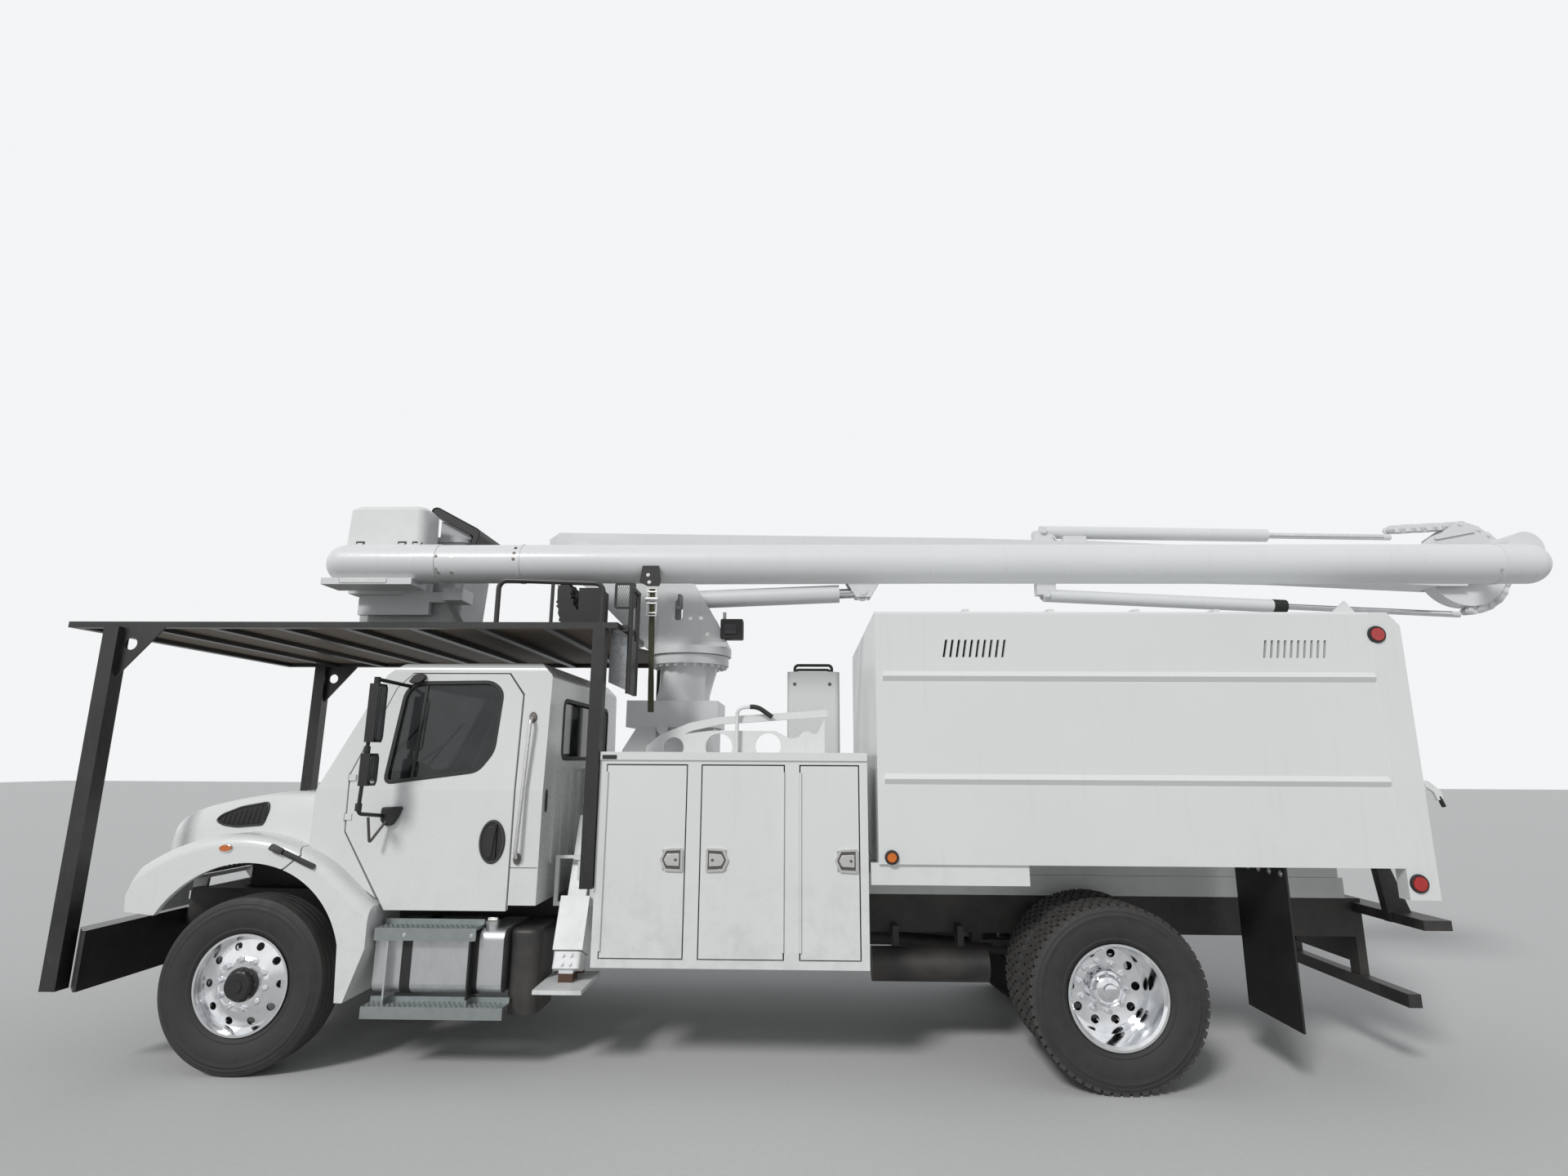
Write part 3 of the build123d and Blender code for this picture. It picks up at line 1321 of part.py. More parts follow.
# Upper boom: a long round-ended tube on its elbow shaft, with the sprocket drum
tube_bands = (
    # start, end, rise over the tube
    (615, 770, 5),
    (1380, 1402, 4),
    (8505, 8530, 5),
)
with BuildPart() as upper_boom:
    bar((tip_x, tube_y, tube_z), (tube_rear - tube_radius, tube_y, tube_z), tube_radius)
    for x in (tip_x, tube_rear - tube_radius):
        with Locations((x, tube_y, tube_z)):
            Sphere(tube_radius)
    bar((tip_x + 150, tube_y, tube_z), (elbow_x - 300, tube_y, tube_z), tube_radius - 12, Mode.SUBTRACT)
    cross_disc(elbow_x, elbow_z, elbow_shaft, tube_y, lower_boom_half + 30)
    cross_disc(elbow_x, elbow_z, 130, tube_y - 20, tube_y + 190)
    cross_disc(elbow_x, elbow_z, sprocket_radius, -60, 60)
    for band_start, band_end, rise in tube_bands:
        bar((front_axle_x + band_start, tube_y, tube_z), (front_axle_x + band_end, tube_y, tube_z),
            tube_radius + rise)
        bar((front_axle_x + band_start - 1, tube_y, tube_z), (front_axle_x + band_end + 1, tube_y, tube_z),
            tube_radius - 12, Mode.SUBTRACT)
    box_between(tip_x - 120, front_axle_x + 610, tube_y - 120, tube_y + 120, 3152, 3200)
    bar((tip_x + 150, tube_y, tube_z), (front_axle_x + 620, tube_y, tube_z), tube_radius - 12, Mode.SUBTRACT)
    cross_disc(tip_x, tube_z, 60, tube_y, tube_y + 200)
save(upper_boom, "upper_boom")

# Chain round the sprocket, between the two elbow rods: link plates in turn outside and inside
chain_radius = 350
link_angle = 14
pin_radius = 15
link_height = 58
chain_start = -91
wrap_links = 13
run_links = 6
anchor_plate = [
    (elbow_x - 262, 3651), (elbow_x - 10, 3815), (elbow_x + 30, 3815), (elbow_x + 120, 3725),
]


def chain_pin(index):
    """Where a chain pin sits: round the sprocket first, then along the straight run to the upper rod."""
    turned = min(index, wrap_links)
    angle = radians(chain_start + turned * link_angle)
    pitch = 2 * chain_radius * sin(radians(link_angle / 2))
    extra = (index - turned) * pitch
    x = elbow_x + chain_radius * cos(angle) - extra
    z = elbow_z + chain_radius * sin(angle) - extra * 0.055
    return x, z


with BuildPart() as elbow_chain:
    for index in range(wrap_links + run_links):
        x_first, z_first = chain_pin(index)
        x_next, z_next = chain_pin(index + 1)
        length = hypot(x_next - x_first, z_next - z_first)
        lean = Plane(
            origin=((x_first + x_next) / 2, 0, (z_first + z_next) / 2),
            x_dir=(x_next - x_first, 0, z_next - z_first),
            z_dir=(0, -1, 0),
        )
        inset = 0 if index % 2 else 9
        for side in (-1, 1):
            with BuildSketch(lean.offset(side * (34 - inset) - 4.5)):
                SlotCenterToCenter(length, link_height)
            extrude(amount=9)
    for index in range(wrap_links + run_links + 1):
        cross_disc(*chain_pin(index), pin_radius, -42, 42)
    for side in (-1, 1):
        side_slab(anchor_plate, *sorted((side * 66, side * 74)), rounding=12)
    cross_disc(*chain_pin(wrap_links), pin_radius, -82, 82)
save(elbow_chain, "elbow_chain")

# Lift cylinder between turret and lower boom
eye_reach = Vector(cylinder_eye[0] - cylinder_foot[0], 0, cylinder_eye[1] - cylinder_foot[1])
barrel_length = 1330
along = eye_reach.normalized()
foot_point = Vector(cylinder_foot[0], 0, cylinder_foot[1])
with BuildPart() as lift_barrel:
    cross_disc(*cylinder_foot, 62, -48, 48)
    bar((foot_point + along * 40), (foot_point + along * barrel_length), 72)
    bar((foot_point + along * 70), (foot_point + along * (barrel_length + 10)),
        40.05, Mode.SUBTRACT)
    cross_disc(*cylinder_foot, 30.05, -60, 60, Mode.SUBTRACT)
save(lift_barrel, "lift_barrel")

with BuildPart() as lift_rod:
    bar((foot_point + along * 120), (foot_point + eye_reach), 40)
    cross_disc(*cylinder_eye, 60, -44, 44)
save(lift_rod, "lift_rod")

# Bucket hung beside the boom's tip, open at the top, with a hooded control console on its rear edge
bucket_front = front_axle_x - 100
bucket_rear = front_axle_x + 780
bucket_near = -225
bucket_far = 400
bucket_low = 2915
bucket_rim = 3640
bucket_wall = 12
bucket_taper = 80
bucket_mid = ((bucket_front + bucket_rear) / 2, (bucket_near + bucket_far) / 2)
bucket_size = (bucket_rear - bucket_front, bucket_far - bucket_near)
console = [
    (front_axle_x + 530, 3570), (front_axle_x + 785, 3550), (front_axle_x + 785, 3670),
    (front_axle_x + 700, 3745), (front_axle_x + 530, 3800),
]
console_hood = [
    (front_axle_x + 460, 3850), (front_axle_x + 470, 3895), (front_axle_x + 510, 3905),
    (front_axle_x + 865, 3715), (front_axle_x + 872, 3670), (front_axle_x + 845, 3575),
    (front_axle_x + 805, 3588), (front_axle_x + 820, 3662), (front_axle_x + 500, 3835),
]


def bucket_form(z_low, z_high, taper, trim):
    """A rounded tub that widens towards its rim."""
    with BuildSketch(Plane.XY.offset(z_low)) as base:
        with Locations(bucket_mid):
            RectangleRounded(bucket_size[0] - taper - trim, bucket_size[1] - taper - trim, 60)
    with BuildSketch(Plane.XY.offset(z_high)) as mouth:
        with Locations(bucket_mid):
            RectangleRounded(bucket_size[0] - trim, bucket_size[1] - trim, 60)
    return [base.sketch, mouth.sketch]


with BuildPart() as bucket:
    loft(bucket_form(bucket_low, bucket_rim, bucket_taper, 0), ruled=True)
    with BuildSketch(Plane.XY.offset(bucket_rim - 40)):
        with Locations(bucket_mid):
            RectangleRounded(bucket_size[0] + 30, bucket_size[1] + 30, 75)
    extrude(amount=40)
    loft(bucket_form(bucket_low + 15, bucket_rim + 2, bucket_taper, 2 * bucket_wall), ruled=True,
         mode=Mode.SUBTRACT)
    side_slab(console, -150, 330)
    side_slab(console_hood, -200, 370, rounding=6)
save(bucket, "bucket")

with BuildPart() as bucket_mount:
    box_between(tip_x - 100, tip_x + 300, -380, -245, 3150, 3470)
    box_between(tip_x - 60, tip_x + 500, -290, -245, 3000, 3490)
    box_between(tip_x, tip_x + 400, -250, -190, 3080, 3180)
    cross_disc(tip_x, tube_z, 60 + pin_clearance, -420, -300, Mode.SUBTRACT)
    box_between(front_axle_x + 706, front_axle_x + 860, -400, -190, 3095, 3190)
    box_between(tip_x + 450, front_axle_x + 720, -290, -245, 3100, 3180)
    add(bucket.part, mode=Mode.SUBTRACT)
save(bucket_mount, "bucket_mount")

with BuildPart() as tip_cover:
    for z, spread in ((3490, 0), (3780, -15), (3812, -75)):
        with BuildSketch(Plane.XY.offset(z)):
            with Locations((front_axle_x + 278, -397)):
                RectangleRounded(615 + spread, 300 + spread, 65)
    loft(ruled=True)
save(tip_cover, "tip_cover")
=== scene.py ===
import bmesh
import bpy
import math
from mathutils import Matrix, Vector


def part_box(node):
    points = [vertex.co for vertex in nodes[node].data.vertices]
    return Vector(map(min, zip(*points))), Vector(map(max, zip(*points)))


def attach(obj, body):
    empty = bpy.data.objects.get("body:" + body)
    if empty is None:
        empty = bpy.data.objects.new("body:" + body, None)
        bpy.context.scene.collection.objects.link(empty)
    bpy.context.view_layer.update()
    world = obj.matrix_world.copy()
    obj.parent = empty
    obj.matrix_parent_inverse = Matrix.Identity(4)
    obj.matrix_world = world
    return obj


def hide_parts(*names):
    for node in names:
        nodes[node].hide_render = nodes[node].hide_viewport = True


# The looks of a forestry bucket truck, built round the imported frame. Lengths in metres.
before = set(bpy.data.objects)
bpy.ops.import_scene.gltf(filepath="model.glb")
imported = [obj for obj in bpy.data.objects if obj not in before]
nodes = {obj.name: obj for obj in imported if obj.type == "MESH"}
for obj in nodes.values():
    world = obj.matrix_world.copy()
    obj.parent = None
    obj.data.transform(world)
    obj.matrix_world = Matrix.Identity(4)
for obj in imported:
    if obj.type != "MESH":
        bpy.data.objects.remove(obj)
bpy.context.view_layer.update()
sides = (("left", -1), ("right", 1))


def middle(node):
    low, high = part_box(node)
    return (low + high) / 2


frontAxle = middle("tyre_front_left")
rearAxle = middle("tyres_rear_left")
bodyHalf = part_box("cabinet_right")[1].y


def st(metres):  # a place along the truck, counted from the front axle
    return frontAxle.x + metres


# Nodes for shaders and for growing repeats

class Wire:  # one socket, with arithmetic
    def __init__(self, bench, socket):
        self.bench = bench
        self.socket = socket

    def maths(self, operation, first, second=0.0):
        return self.bench.add("ShaderNodeMath", {"operation": operation}, {0: first, 1: second})

    def __add__(self, other):
        return self.maths("ADD", self, other)

    def __radd__(self, other):
        return self.maths("ADD", other, self)

    def __sub__(self, other):
        return self.maths("SUBTRACT", self, other)

    def __rsub__(self, other):
        return self.maths("SUBTRACT", other, self)

    def __mul__(self, other):
        return self.maths("MULTIPLY", self, other)

    def __rmul__(self, other):
        return self.maths("MULTIPLY", other, self)

    def __truediv__(self, other):
        return self.maths("DIVIDE", self, other)


class Bench:  # a node tree being wired
    def __init__(self, tree):
        self.tree = tree

    def add(self, kind, settings=None, inputs=None, out=0):
        node = self.tree.nodes.new(kind)
        for key, value in (settings or {}).items():
            if key == "stops":
                ramp = node.color_ramp
                while len(ramp.elements) < len(value):
                    ramp.elements.new(0.5)
                for element, (place, shade) in zip(ramp.elements, value):
                    element.position = place
                    element.color = (shade, shade, shade, 1)
            else:
                setattr(node, key, value)
        for key, value in (inputs or {}).items():
            if isinstance(value, list):
                for one in value:
                    self.tree.links.new(one.socket, node.inputs[key])
            elif isinstance(value, Wire):
                self.tree.links.new(value.socket, node.inputs[key])
            else:
                node.inputs[key].default_value = value
        return Wire(self, node.outputs[out] if node.outputs else None)

    def place(self, stretch=(1, 1, 1), centre=(0, 0, 0)):
        where = self.add("ShaderNodeTexCoord", out=3)
        moved = self.add("ShaderNodeVectorMath", {"operation": "SUBTRACT"}, {0: where, 1: centre})
        return self.add("ShaderNodeVectorMath", {"operation": "MULTIPLY"}, {0: moved, 1: stretch})

    def noise(self, scale, detail=2.0, rough=0.5, stretch=(1, 1, 1)):
        values = {"Vector": self.place(stretch), "Scale": scale, "Detail": detail, "Roughness": rough}
        return self.add("ShaderNodeTexNoise", {}, values)

    def ramp(self, value, *stops):
        return self.add("ShaderNodeValToRGB", {"stops": stops}, {0: value})

    def axis(self, letter, centre=(0, 0, 0)):
        return self.add("ShaderNodeSeparateXYZ", {}, {0: self.place(centre=centre)}, "XYZ".index(letter))

    def radius(self, centre):  # distance from a wheel's axle
        across = self.place((1, 0, 1), centre)
        return self.add("ShaderNodeVectorMath", {"operation": "LENGTH"}, {0: across}, 1)

    def span(self, value, low, high):  # 1 between low and high
        inputs = {0: value, 1: (low + high) / 2, 2: (high - low) / 2}
        return self.add("ShaderNodeMath", {"operation": "COMPARE"}, inputs)

    def reach(self):  # distance from the truck's middle
        across = self.axis("Y")
        return across.maths("ABSOLUTE", across)

    def above(self, low, high):  # 0 below low, 1 above high
        span = {"Value": self.axis("Z"), "From Min": low, "From Max": high}
        return self.add("ShaderNodeMapRange", {"clamp": True}, span)

    def mix(self, factor, first, second):
        inputs = {0: factor}
        for key, shade in ((6, first), (7, second)):
            inputs[key] = shade if isinstance(shade, Wire) else (*shade, 1)
        return self.add("ShaderNodeMix", {"data_type": "RGBA"}, inputs, 2)

    def bump(self, height, strength, distance):
        return self.add("ShaderNodeBump", {}, {"Height": height, "Strength": strength, "Distance": distance})


def finish(name, build, *details):
    material = bpy.data.materials.new(name)
    material.use_nodes = True
    material.node_tree.nodes.clear()
    bench = Bench(material.node_tree)
    sockets = build(bench, *details)
    for key in ("Base Color", "Emission Color"):
        if key in sockets and not isinstance(sockets[key], Wire):
            sockets[key] = (*sockets[key], 1)
    surface = bench.add("ShaderNodeBsdfPrincipled", {}, sockets)
    bench.add("ShaderNodeOutputMaterial", {}, {"Surface": surface})
    return material


# Finishes

dust = (0.20, 0.175, 0.15)


def sprayedPaint(b, shade, gloss, grain, grime):
    patches = b.noise(1.4, 3)
    specks = b.ramp(b.noise(grain, 3, 0.6), (0.42, 0), (0.7, 1))
    low = 1 - b.above(0.35, 1.5)
    dirt = b.ramp(b.noise(7, 5, 0.65), (0.45, 0), (0.8, 1)) * low * grime
    runs = b.ramp(b.noise(5, 4, 0.6, (3, 3, 0.25)), (0.58, 0), (0.82, 1)) * (grime * 0.35)
    darker = tuple(part * 0.93 for part in shade)
    colour = b.mix(patches, shade, darker)
    colour = b.mix(runs, colour, (0.42, 0.40, 0.37))
    colour = b.mix(dirt, colour, dust)
    peel = b.bump(b.noise(240, 2) + specks * 0.5 + b.noise(1.1, 1) * 14, 0.22, 0.0006)
    return {"Base Color": colour, "Roughness": gloss + specks * 0.14 + dirt * 0.4, "Normal": peel,
            "Coat Weight": 0.3 - specks * 0.2, "Coat Roughness": 0.12}


def blackPaint(b, shade, gloss, grime):
    scuffs = b.ramp(b.noise(38, 6, 0.75, (1, 1, 0.4)), (0.55, 0), (0.72, 1))
    film = b.ramp(b.noise(3, 5, 0.6), (0.35, 0), (0.75, 1)) * grime
    colour = b.mix(scuffs * 0.25, shade, (0.09, 0.085, 0.08))
    colour = b.mix(film, colour, dust)
    coarse = b.bump(b.noise(160, 3) + scuffs, 0.25, 0.0008)
    return {"Base Color": colour, "Roughness": gloss + film * 0.35 + scuffs * 0.1, "Normal": coarse,
            "Coat Weight": 0.15, "Coat Roughness": 0.3}


def tyreRubber(b, centre):
    far = b.radius(centre)
    rings = b.add("ShaderNodeMath", {"operation": "SINE"}, {0: far * 900})
    film = b.ramp(b.noise(16, 6, 0.7), (0.35, 0), (0.7, 1))
    edge = b.add("ShaderNodeMapRange", {"clamp": True}, {"Value": far, "From Min": 0.485, "From Max": 0.53})
    colour = b.mix(film * 0.22 + edge * 0.25, (0.022, 0.022, 0.023), (0.11, 0.10, 0.09))
    flank = b.bump(rings * (1 - edge) * 0.4 + b.noise(120, 4) * 1.4, 0.3, 0.0007)
    return {"Base Color": colour, "Roughness": 0.62 + film * 0.2, "Normal": flank}


def polishedAlloy(b, centre):
    far = b.radius(centre)
    lathe = b.add("ShaderNodeMath", {"operation": "SINE"}, {0: far * 5200})
    smear = b.ramp(b.noise(14, 5, 0.7), (0.45, 0), (0.8, 1))
    colour = b.mix(smear * 0.5, (0.88, 0.89, 0.90), (0.60, 0.60, 0.60))
    return {"Base Color": colour, "Metallic": 1.0, "Roughness": 0.07 + smear * 0.12,
            "Normal": b.bump(lathe + b.noise(30, 3) * 3, 0.10, 0.0003)}


def brushedAlloy(b, shade, rough, stretch):
    streaks = b.noise(60, 6, 0.7, stretch)
    blotch = b.ramp(b.noise(6, 5, 0.65, (1, 1, 0.45)), (0.35, 0), (0.7, 1))
    colour = b.mix(blotch * 0.55, shade, tuple(part * 0.55 for part in shade))
    return {"Base Color": colour, "Metallic": 0.9, "Roughness": rough + blotch * 0.2 + streaks * 0.12,
            "Normal": b.bump(streaks, 0.25, 0.0005)}


def plainMetal(b, shade, rough):
    wear = b.ramp(b.noise(45, 5, 0.7), (0.4, 0), (0.75, 1))
    colour = b.mix(wear * 0.6, shade, tuple(part * 0.6 for part in shade))
    return {"Base Color": colour, "Metallic": 1.0, "Roughness": rough + wear * 0.2,
            "Normal": b.bump(b.noise(200, 3), 0.15, 0.0003)}


def tintedGlass(b, shade, clearness):
    film = b.ramp(b.noise(5, 4, 0.6), (0.4, 0), (0.9, 1))
    colour = b.mix(film * 0.3, shade, (0.10, 0.11, 0.11))
    return {"Base Color": colour, "Roughness": 0.03 + film * 0.05, "Alpha": clearness + film * 0.06,
            "Specular IOR Level": 0.8, "Normal": b.bump(b.noise(2, 1), 0.05, 0.002)}


def mouldedLens(b, shade, glow):
    prism = b.add("ShaderNodeTexVoronoi", {"feature": "F1"}, {"Vector": b.place(), "Scale": 130.0})
    colour = b.mix(prism * 0.8, shade, tuple(part * 0.35 for part in shade))
    return {"Base Color": colour, "Roughness": 0.08 + prism * 0.05, "Emission Color": colour,
            "Emission Strength": glow, "Normal": b.bump(prism, 0.5, 0.002), "Coat Weight": 0.8,
            "Coat Roughness": 0.03}


def mouldedPlastic(b, shade, rough, grain):
    pits = b.noise(grain, 3, 0.6)
    film = b.ramp(b.noise(6, 4, 0.6), (0.4, 0), (0.85, 1))
    colour = b.mix(film * 0.3, shade, tuple(part * 0.6 + 0.03 for part in shade))
    return {"Base Color": colour, "Roughness": rough + film * 0.15, "Normal": b.bump(pits, 0.3, 0.0006)}


def wovenCloth(b, shade, pitch):
    warp = b.add("ShaderNodeMath", {"operation": "SINE"}, {0: b.axis("X") * pitch + b.axis("Y") * pitch})
    weft = b.add("ShaderNodeMath", {"operation": "SINE"}, {0: b.axis("Z") * pitch})
    weave = warp * weft
    faded = b.noise(9, 4)
    colour = b.mix(faded, shade, tuple(part * 0.6 for part in shade))
    return {"Base Color": colour, "Roughness": 0.85 + faded * 0.1, "Normal": b.bump(weave, 0.5, 0.0008),
            "Sheen Weight": 0.3}


whiteShade = (0.80, 0.81, 0.80)
chromeShade = (0.82, 0.83, 0.85)
amberShade = (0.75, 0.18, 0.015)
cabPaint = (whiteShade, 0.22, 150.0, 0.25)  # shade, gloss, grain, grime
bodyPaint = (whiteShade, 0.34, 220.0, 0.35)
boomPaint = ((0.79, 0.80, 0.80), 0.38, 70.0, 0.5)
guardPaint = ((0.012, 0.012, 0.013), 0.34, 0.10)  # shade, gloss, grime
chassisPaint = ((0.014, 0.014, 0.015), 0.55, 0.30)

cabWhite = finish("cabWhite", sprayedPaint, *cabPaint)
bodyWhite = finish("bodyWhite", sprayedPaint, *bodyPaint)
boomWhite = finish("boomWhite", sprayedPaint, *boomPaint)
guardBlack = finish("guardBlack", blackPaint, *guardPaint)
chassisBlack = finish("chassisBlack", blackPaint, *chassisPaint)
frontRubber = finish("frontRubber", tyreRubber, tuple(frontAxle))
rearRubber = finish("rearRubber", tyreRubber, tuple(rearAxle))
frontAlloy = finish("frontAlloy", polishedAlloy, tuple(frontAxle))
rearAlloy = finish("rearAlloy", polishedAlloy, tuple(rearAxle))
stepGrey = finish("stepGrey", brushedAlloy, (0.40, 0.43, 0.43), 0.45, (0.3, 3, 3))
zincSteel = finish("zincSteel", plainMetal, (0.72, 0.72, 0.70), 0.28)
rodChrome = finish("rodChrome", plainMetal, chromeShade, 0.08)
darkSteel = finish("darkSteel", plainMetal, (0.16, 0.15, 0.14), 0.40)
greySheet = finish("greySheet", plainMetal, (0.30, 0.31, 0.32), 0.42)
mirrorGlass = finish("mirrorGlass", plainMetal, (0.90, 0.92, 0.93), 0.03)
windowGlass = finish("windowGlass", tintedGlass, (0.010, 0.016, 0.016), 0.62)
clearLens = finish("clearLens", mouldedLens, (0.55, 0.57, 0.58), 0.0)
amberLens = finish("amberLens", mouldedLens, amberShade, 0.08)
ventMesh = finish("ventMesh", mouldedPlastic, (0.010, 0.010, 0.011), 0.70, 420.0)
blackPlastic = finish("blackPlastic", mouldedPlastic, (0.014, 0.014, 0.015), 0.42, 300.0)
cabPlastic = finish("cabPlastic", mouldedPlastic, (0.055, 0.055, 0.06), 0.55, 260.0)
flapRubber = finish("flapRubber", mouldedPlastic, (0.012, 0.012, 0.012), 0.55, 90.0)
coverWhite = finish("coverWhite", mouldedPlastic, (0.80, 0.80, 0.79), 0.28, 180.0)
seatCloth = finish("seatCloth", wovenCloth, (0.05, 0.05, 0.055), 1800.0)
greyWebbing = finish("greyWebbing", wovenCloth, (0.42, 0.43, 0.42), 2600.0)
khakiWebbing = finish("khakiWebbing", wovenCloth, (0.075, 0.075, 0.035), 2600.0)

slotOf = {material: slot for slot, materials in (  # the slot of a trim piece, unless it says another
    ("white_paint", (bodyWhite, boomWhite)),
    ("black_steel", (guardBlack, darkSteel, greySheet)),
    ("tyre_rubber", (frontRubber, rearRubber)),
    ("wheel_alloy", (rodChrome,)),
    ("tank_aluminium", (stepGrey,)),
    ("rod_chrome", (zincSteel,)),
    ("clear_glass", (mirrorGlass,)),
    ("marker_lens", (amberLens,)),
    ("cab_plastic", (blackPlastic, cabPlastic, ventMesh)),
    ("flap_rubber", (flapRubber,)),
    ("cover_white", (coverWhite,)),
    ("seat_cloth", (greyWebbing, khakiWebbing)),
) for material in materials}
nodeFinishes = {
    cabWhite: "hood rear_fenders",
    bodyWhite: "cabinet_left cabinet_right chip_box tailgate subframe",
    boomWhite: "pedestal turret lower_boom upper_boom elbow_chain bucket_mount lift_barrel",
    guardBlack: "bumper",
    chassisBlack: "frame_rails rear_hitch front_axle rear_axle driveshaft engine_block knuckle_left "
                  "knuckle_right",
    frontAlloy: "rim_front_left rim_front_right",
    rearAlloy: "rims_rear_left rims_rear_right",
    frontRubber: "tyre_front_left tyre_front_right",
    rearRubber: "tyres_rear_left tyres_rear_right",
    windowGlass: "cab_glass door_glass_left door_glass_right",
    clearLens: "headlamps",
    cabPlastic: "dashboard",
    blackPlastic: "grille",
    seatCloth: "seats",
    flapRubber: "mud_flaps boom_rest",
    coverWhite: "tip_cover",
    rodChrome: "lift_rod",
}


def dress(names, material):
    for name in names.split():
        nodes[name].data.materials.clear()
        nodes[name].data.materials.append(material)


for material, names in nodeFinishes.items():
    dress(names, material)


# Finishes with areas of another look, found by their place

def zone(**ranges):  # a box of the truck, the same on both sides; reach counts out from its middle
    def area(b):
        mask = 1.0
        for key, (low, high) in ranges.items():
            mask = b.span(b.reach() if key == "reach" else b.axis(key), low, high) * mask
        return mask
    return area


def proudOfDoor(b):  # mirrors, arms and handle, which stand outside the door's leaning skin
    rise = b.axis("Z") - 1.70
    skin = b.reach() + rise.maths("MAXIMUM", rise, 0.0) * 0.0765
    return b.span(skin, 1.0345, 2.0) * b.span(b.axis("X"), st(0.60), st(2.0))


def consoleHood(b):
    slope = 0.5406
    line = b.axis("Z") + b.axis("X") * slope
    start = 3.832 + st(0.50) * slope
    top = b.span(line, start, start + 9) * b.span(b.axis("X"), st(0.455), st(2))
    back = zone(X=(st(0.801), st(2)), Z=(3.57, 4.0))(b)
    return top.maths("MAXIMUM", top, back)


def patched(b, build, details, *patches):
    sockets = build(b, *details)
    for area, shade, rough, metal in patches:
        mask = area(b)
        worn = b.mix(b.noise(22, 4), shade, tuple(part * 0.7 for part in shade))
        sockets["Base Color"] = b.mix(mask, sockets["Base Color"], worn)
        sockets["Roughness"] = sockets["Roughness"] + mask * (rough - sockets["Roughness"])
        before = sockets.get("Metallic", 0.0)
        sockets["Metallic"] = before + mask * (metal - before)
        if "Coat Weight" in sockets:
            sockets["Coat Weight"] = sockets["Coat Weight"] * (1 - mask)
        if "Emission Color" in sockets:
            sockets["Emission Color"] = sockets["Base Color"]
    return sockets


plasticBlack = (0.016, 0.016, 0.017)
blackLook = (plasticBlack, 0.5, 0.0)  # shade, roughness, metal
stepLook = ((0.36, 0.39, 0.39), 0.45, 0.7)
chromeLook = (chromeShade, 0.08, 1.0)
latchAreas = [(zone(X=(st(x) - 0.062, st(x) + 0.062), reach=(1.2215, 1.3), Z=(1.234, 1.356)),
               (0.60, 0.60, 0.58), 0.32, 1.0) for x in (2.674, 2.951, 3.758)]
stepAreas = [(zone(reach=(1.0595, 1.4), Z=(0.78, 1.0)), *stepLook),
             (zone(reach=(0.955, 1.4), Z=(0.8425, 1.0), X=(st(0.75), st(1.447))), *stepLook),
             (zone(reach=(1.0, 1.4), Z=(0.3, 0.442)), *stepLook),
             (zone(X=(st(1.38), st(1.42)), reach=(1.0595, 1.4), Z=(0.442, 0.78)), *blackLook)]
strapAreas = [(zone(X=(st(low), st(high)), reach=(0.4, 1.0585)), *blackLook)
              for low, high in ((0.9595, 1.0205), (1.3845, 1.4455))]
cabinetDoors = " ".join(f"cabinet_door_{side}_{number}" for side, sign in sides for number in (1, 2, 3))
patchedNodes = {
    "door_left door_right": (sprayedPaint, cabPaint, (proudOfDoor, plasticBlack, 0.42, 0.0)),
    "cab_shell": (sprayedPaint, cabPaint,
                  (zone(X=(st(0.20), st(0.36)), reach=(0.0, 0.90), Z=(1.695, 1.786)), *blackLook)),
    cabinetDoors: (sprayedPaint, bodyPaint, *latchAreas),
    "fuel_tank": (brushedAlloy, ((0.62, 0.63, 0.64), 0.28, (3, 3, 0.15)), *strapAreas, *stepAreas),
    "battery_box": (blackPaint, chassisPaint, *stepAreas),
    "marker_lamps": (mouldedLens, ((0.55, 0.012, 0.010), 0.08),
                     (zone(X=(st(-2), st(5))), amberShade, 0.1, 0.0)),
    "outrigger_leg_left outrigger_leg_right": (
        sprayedPaint, boomPaint, (zone(reach=(0.84, 1.04), Z=(0.5255, 0.578)), (0.10, 0.05, 0.03), 0.7, 0.0)),
    # guard_frame: the deck plate's underside gets a brown tint, partly dust and partly a painted reflection of
    # the sunlit ground
    "guard_frame": (blackPaint, guardPaint,
                    (zone(reach=(0.0, 1.15), Z=(2.7812, 2.7832)), (0.15, 0.115, 0.08), 0.6, 0.0)),
    "hydraulic_tank": (sprayedPaint, bodyPaint, (zone(Z=(2.602, 2.8)), (0.03, 0.03, 0.03), 0.5, 0.0)),
    "bucket": (mouldedPlastic, ((0.52, 0.53, 0.53), 0.40, 55.0), (consoleHood, *blackLook)),
    "elbow_cylinders": (sprayedPaint, boomPaint,
                        (zone(X=(st(7.262), st(8.64)), Z=(2.9, 3.3)), *chromeLook),
                        (zone(X=(st(7.262), st(8.19)), Z=(3.6, 3.8)), *chromeLook)),
}
for names, (build, details, *patches) in patchedNodes.items():
    dress(names, finish(names.split()[0] + "Finish", patched, build, details, *patches))
print("finishes ready:", len(bpy.data.materials))


# Shapes

def rounded(points, bend, steps=6):
    points = [Vector(point) for point in points]
    route = [points[0]]
    for before, corner, after in zip(points, points[1:], points[2:]):
        back = (before - corner).normalized()
        on = (after - corner).normalized()
        reach = min(bend, (before - corner).length * 0.49, (after - corner).length * 0.49)
        for step in range(steps + 1):
            share = step / steps
            start = corner + back * reach * (1 - share)
            end = corner + on * reach * share
            route.append(start * (1 - share) + end * share)
    return route + [points[-1]]


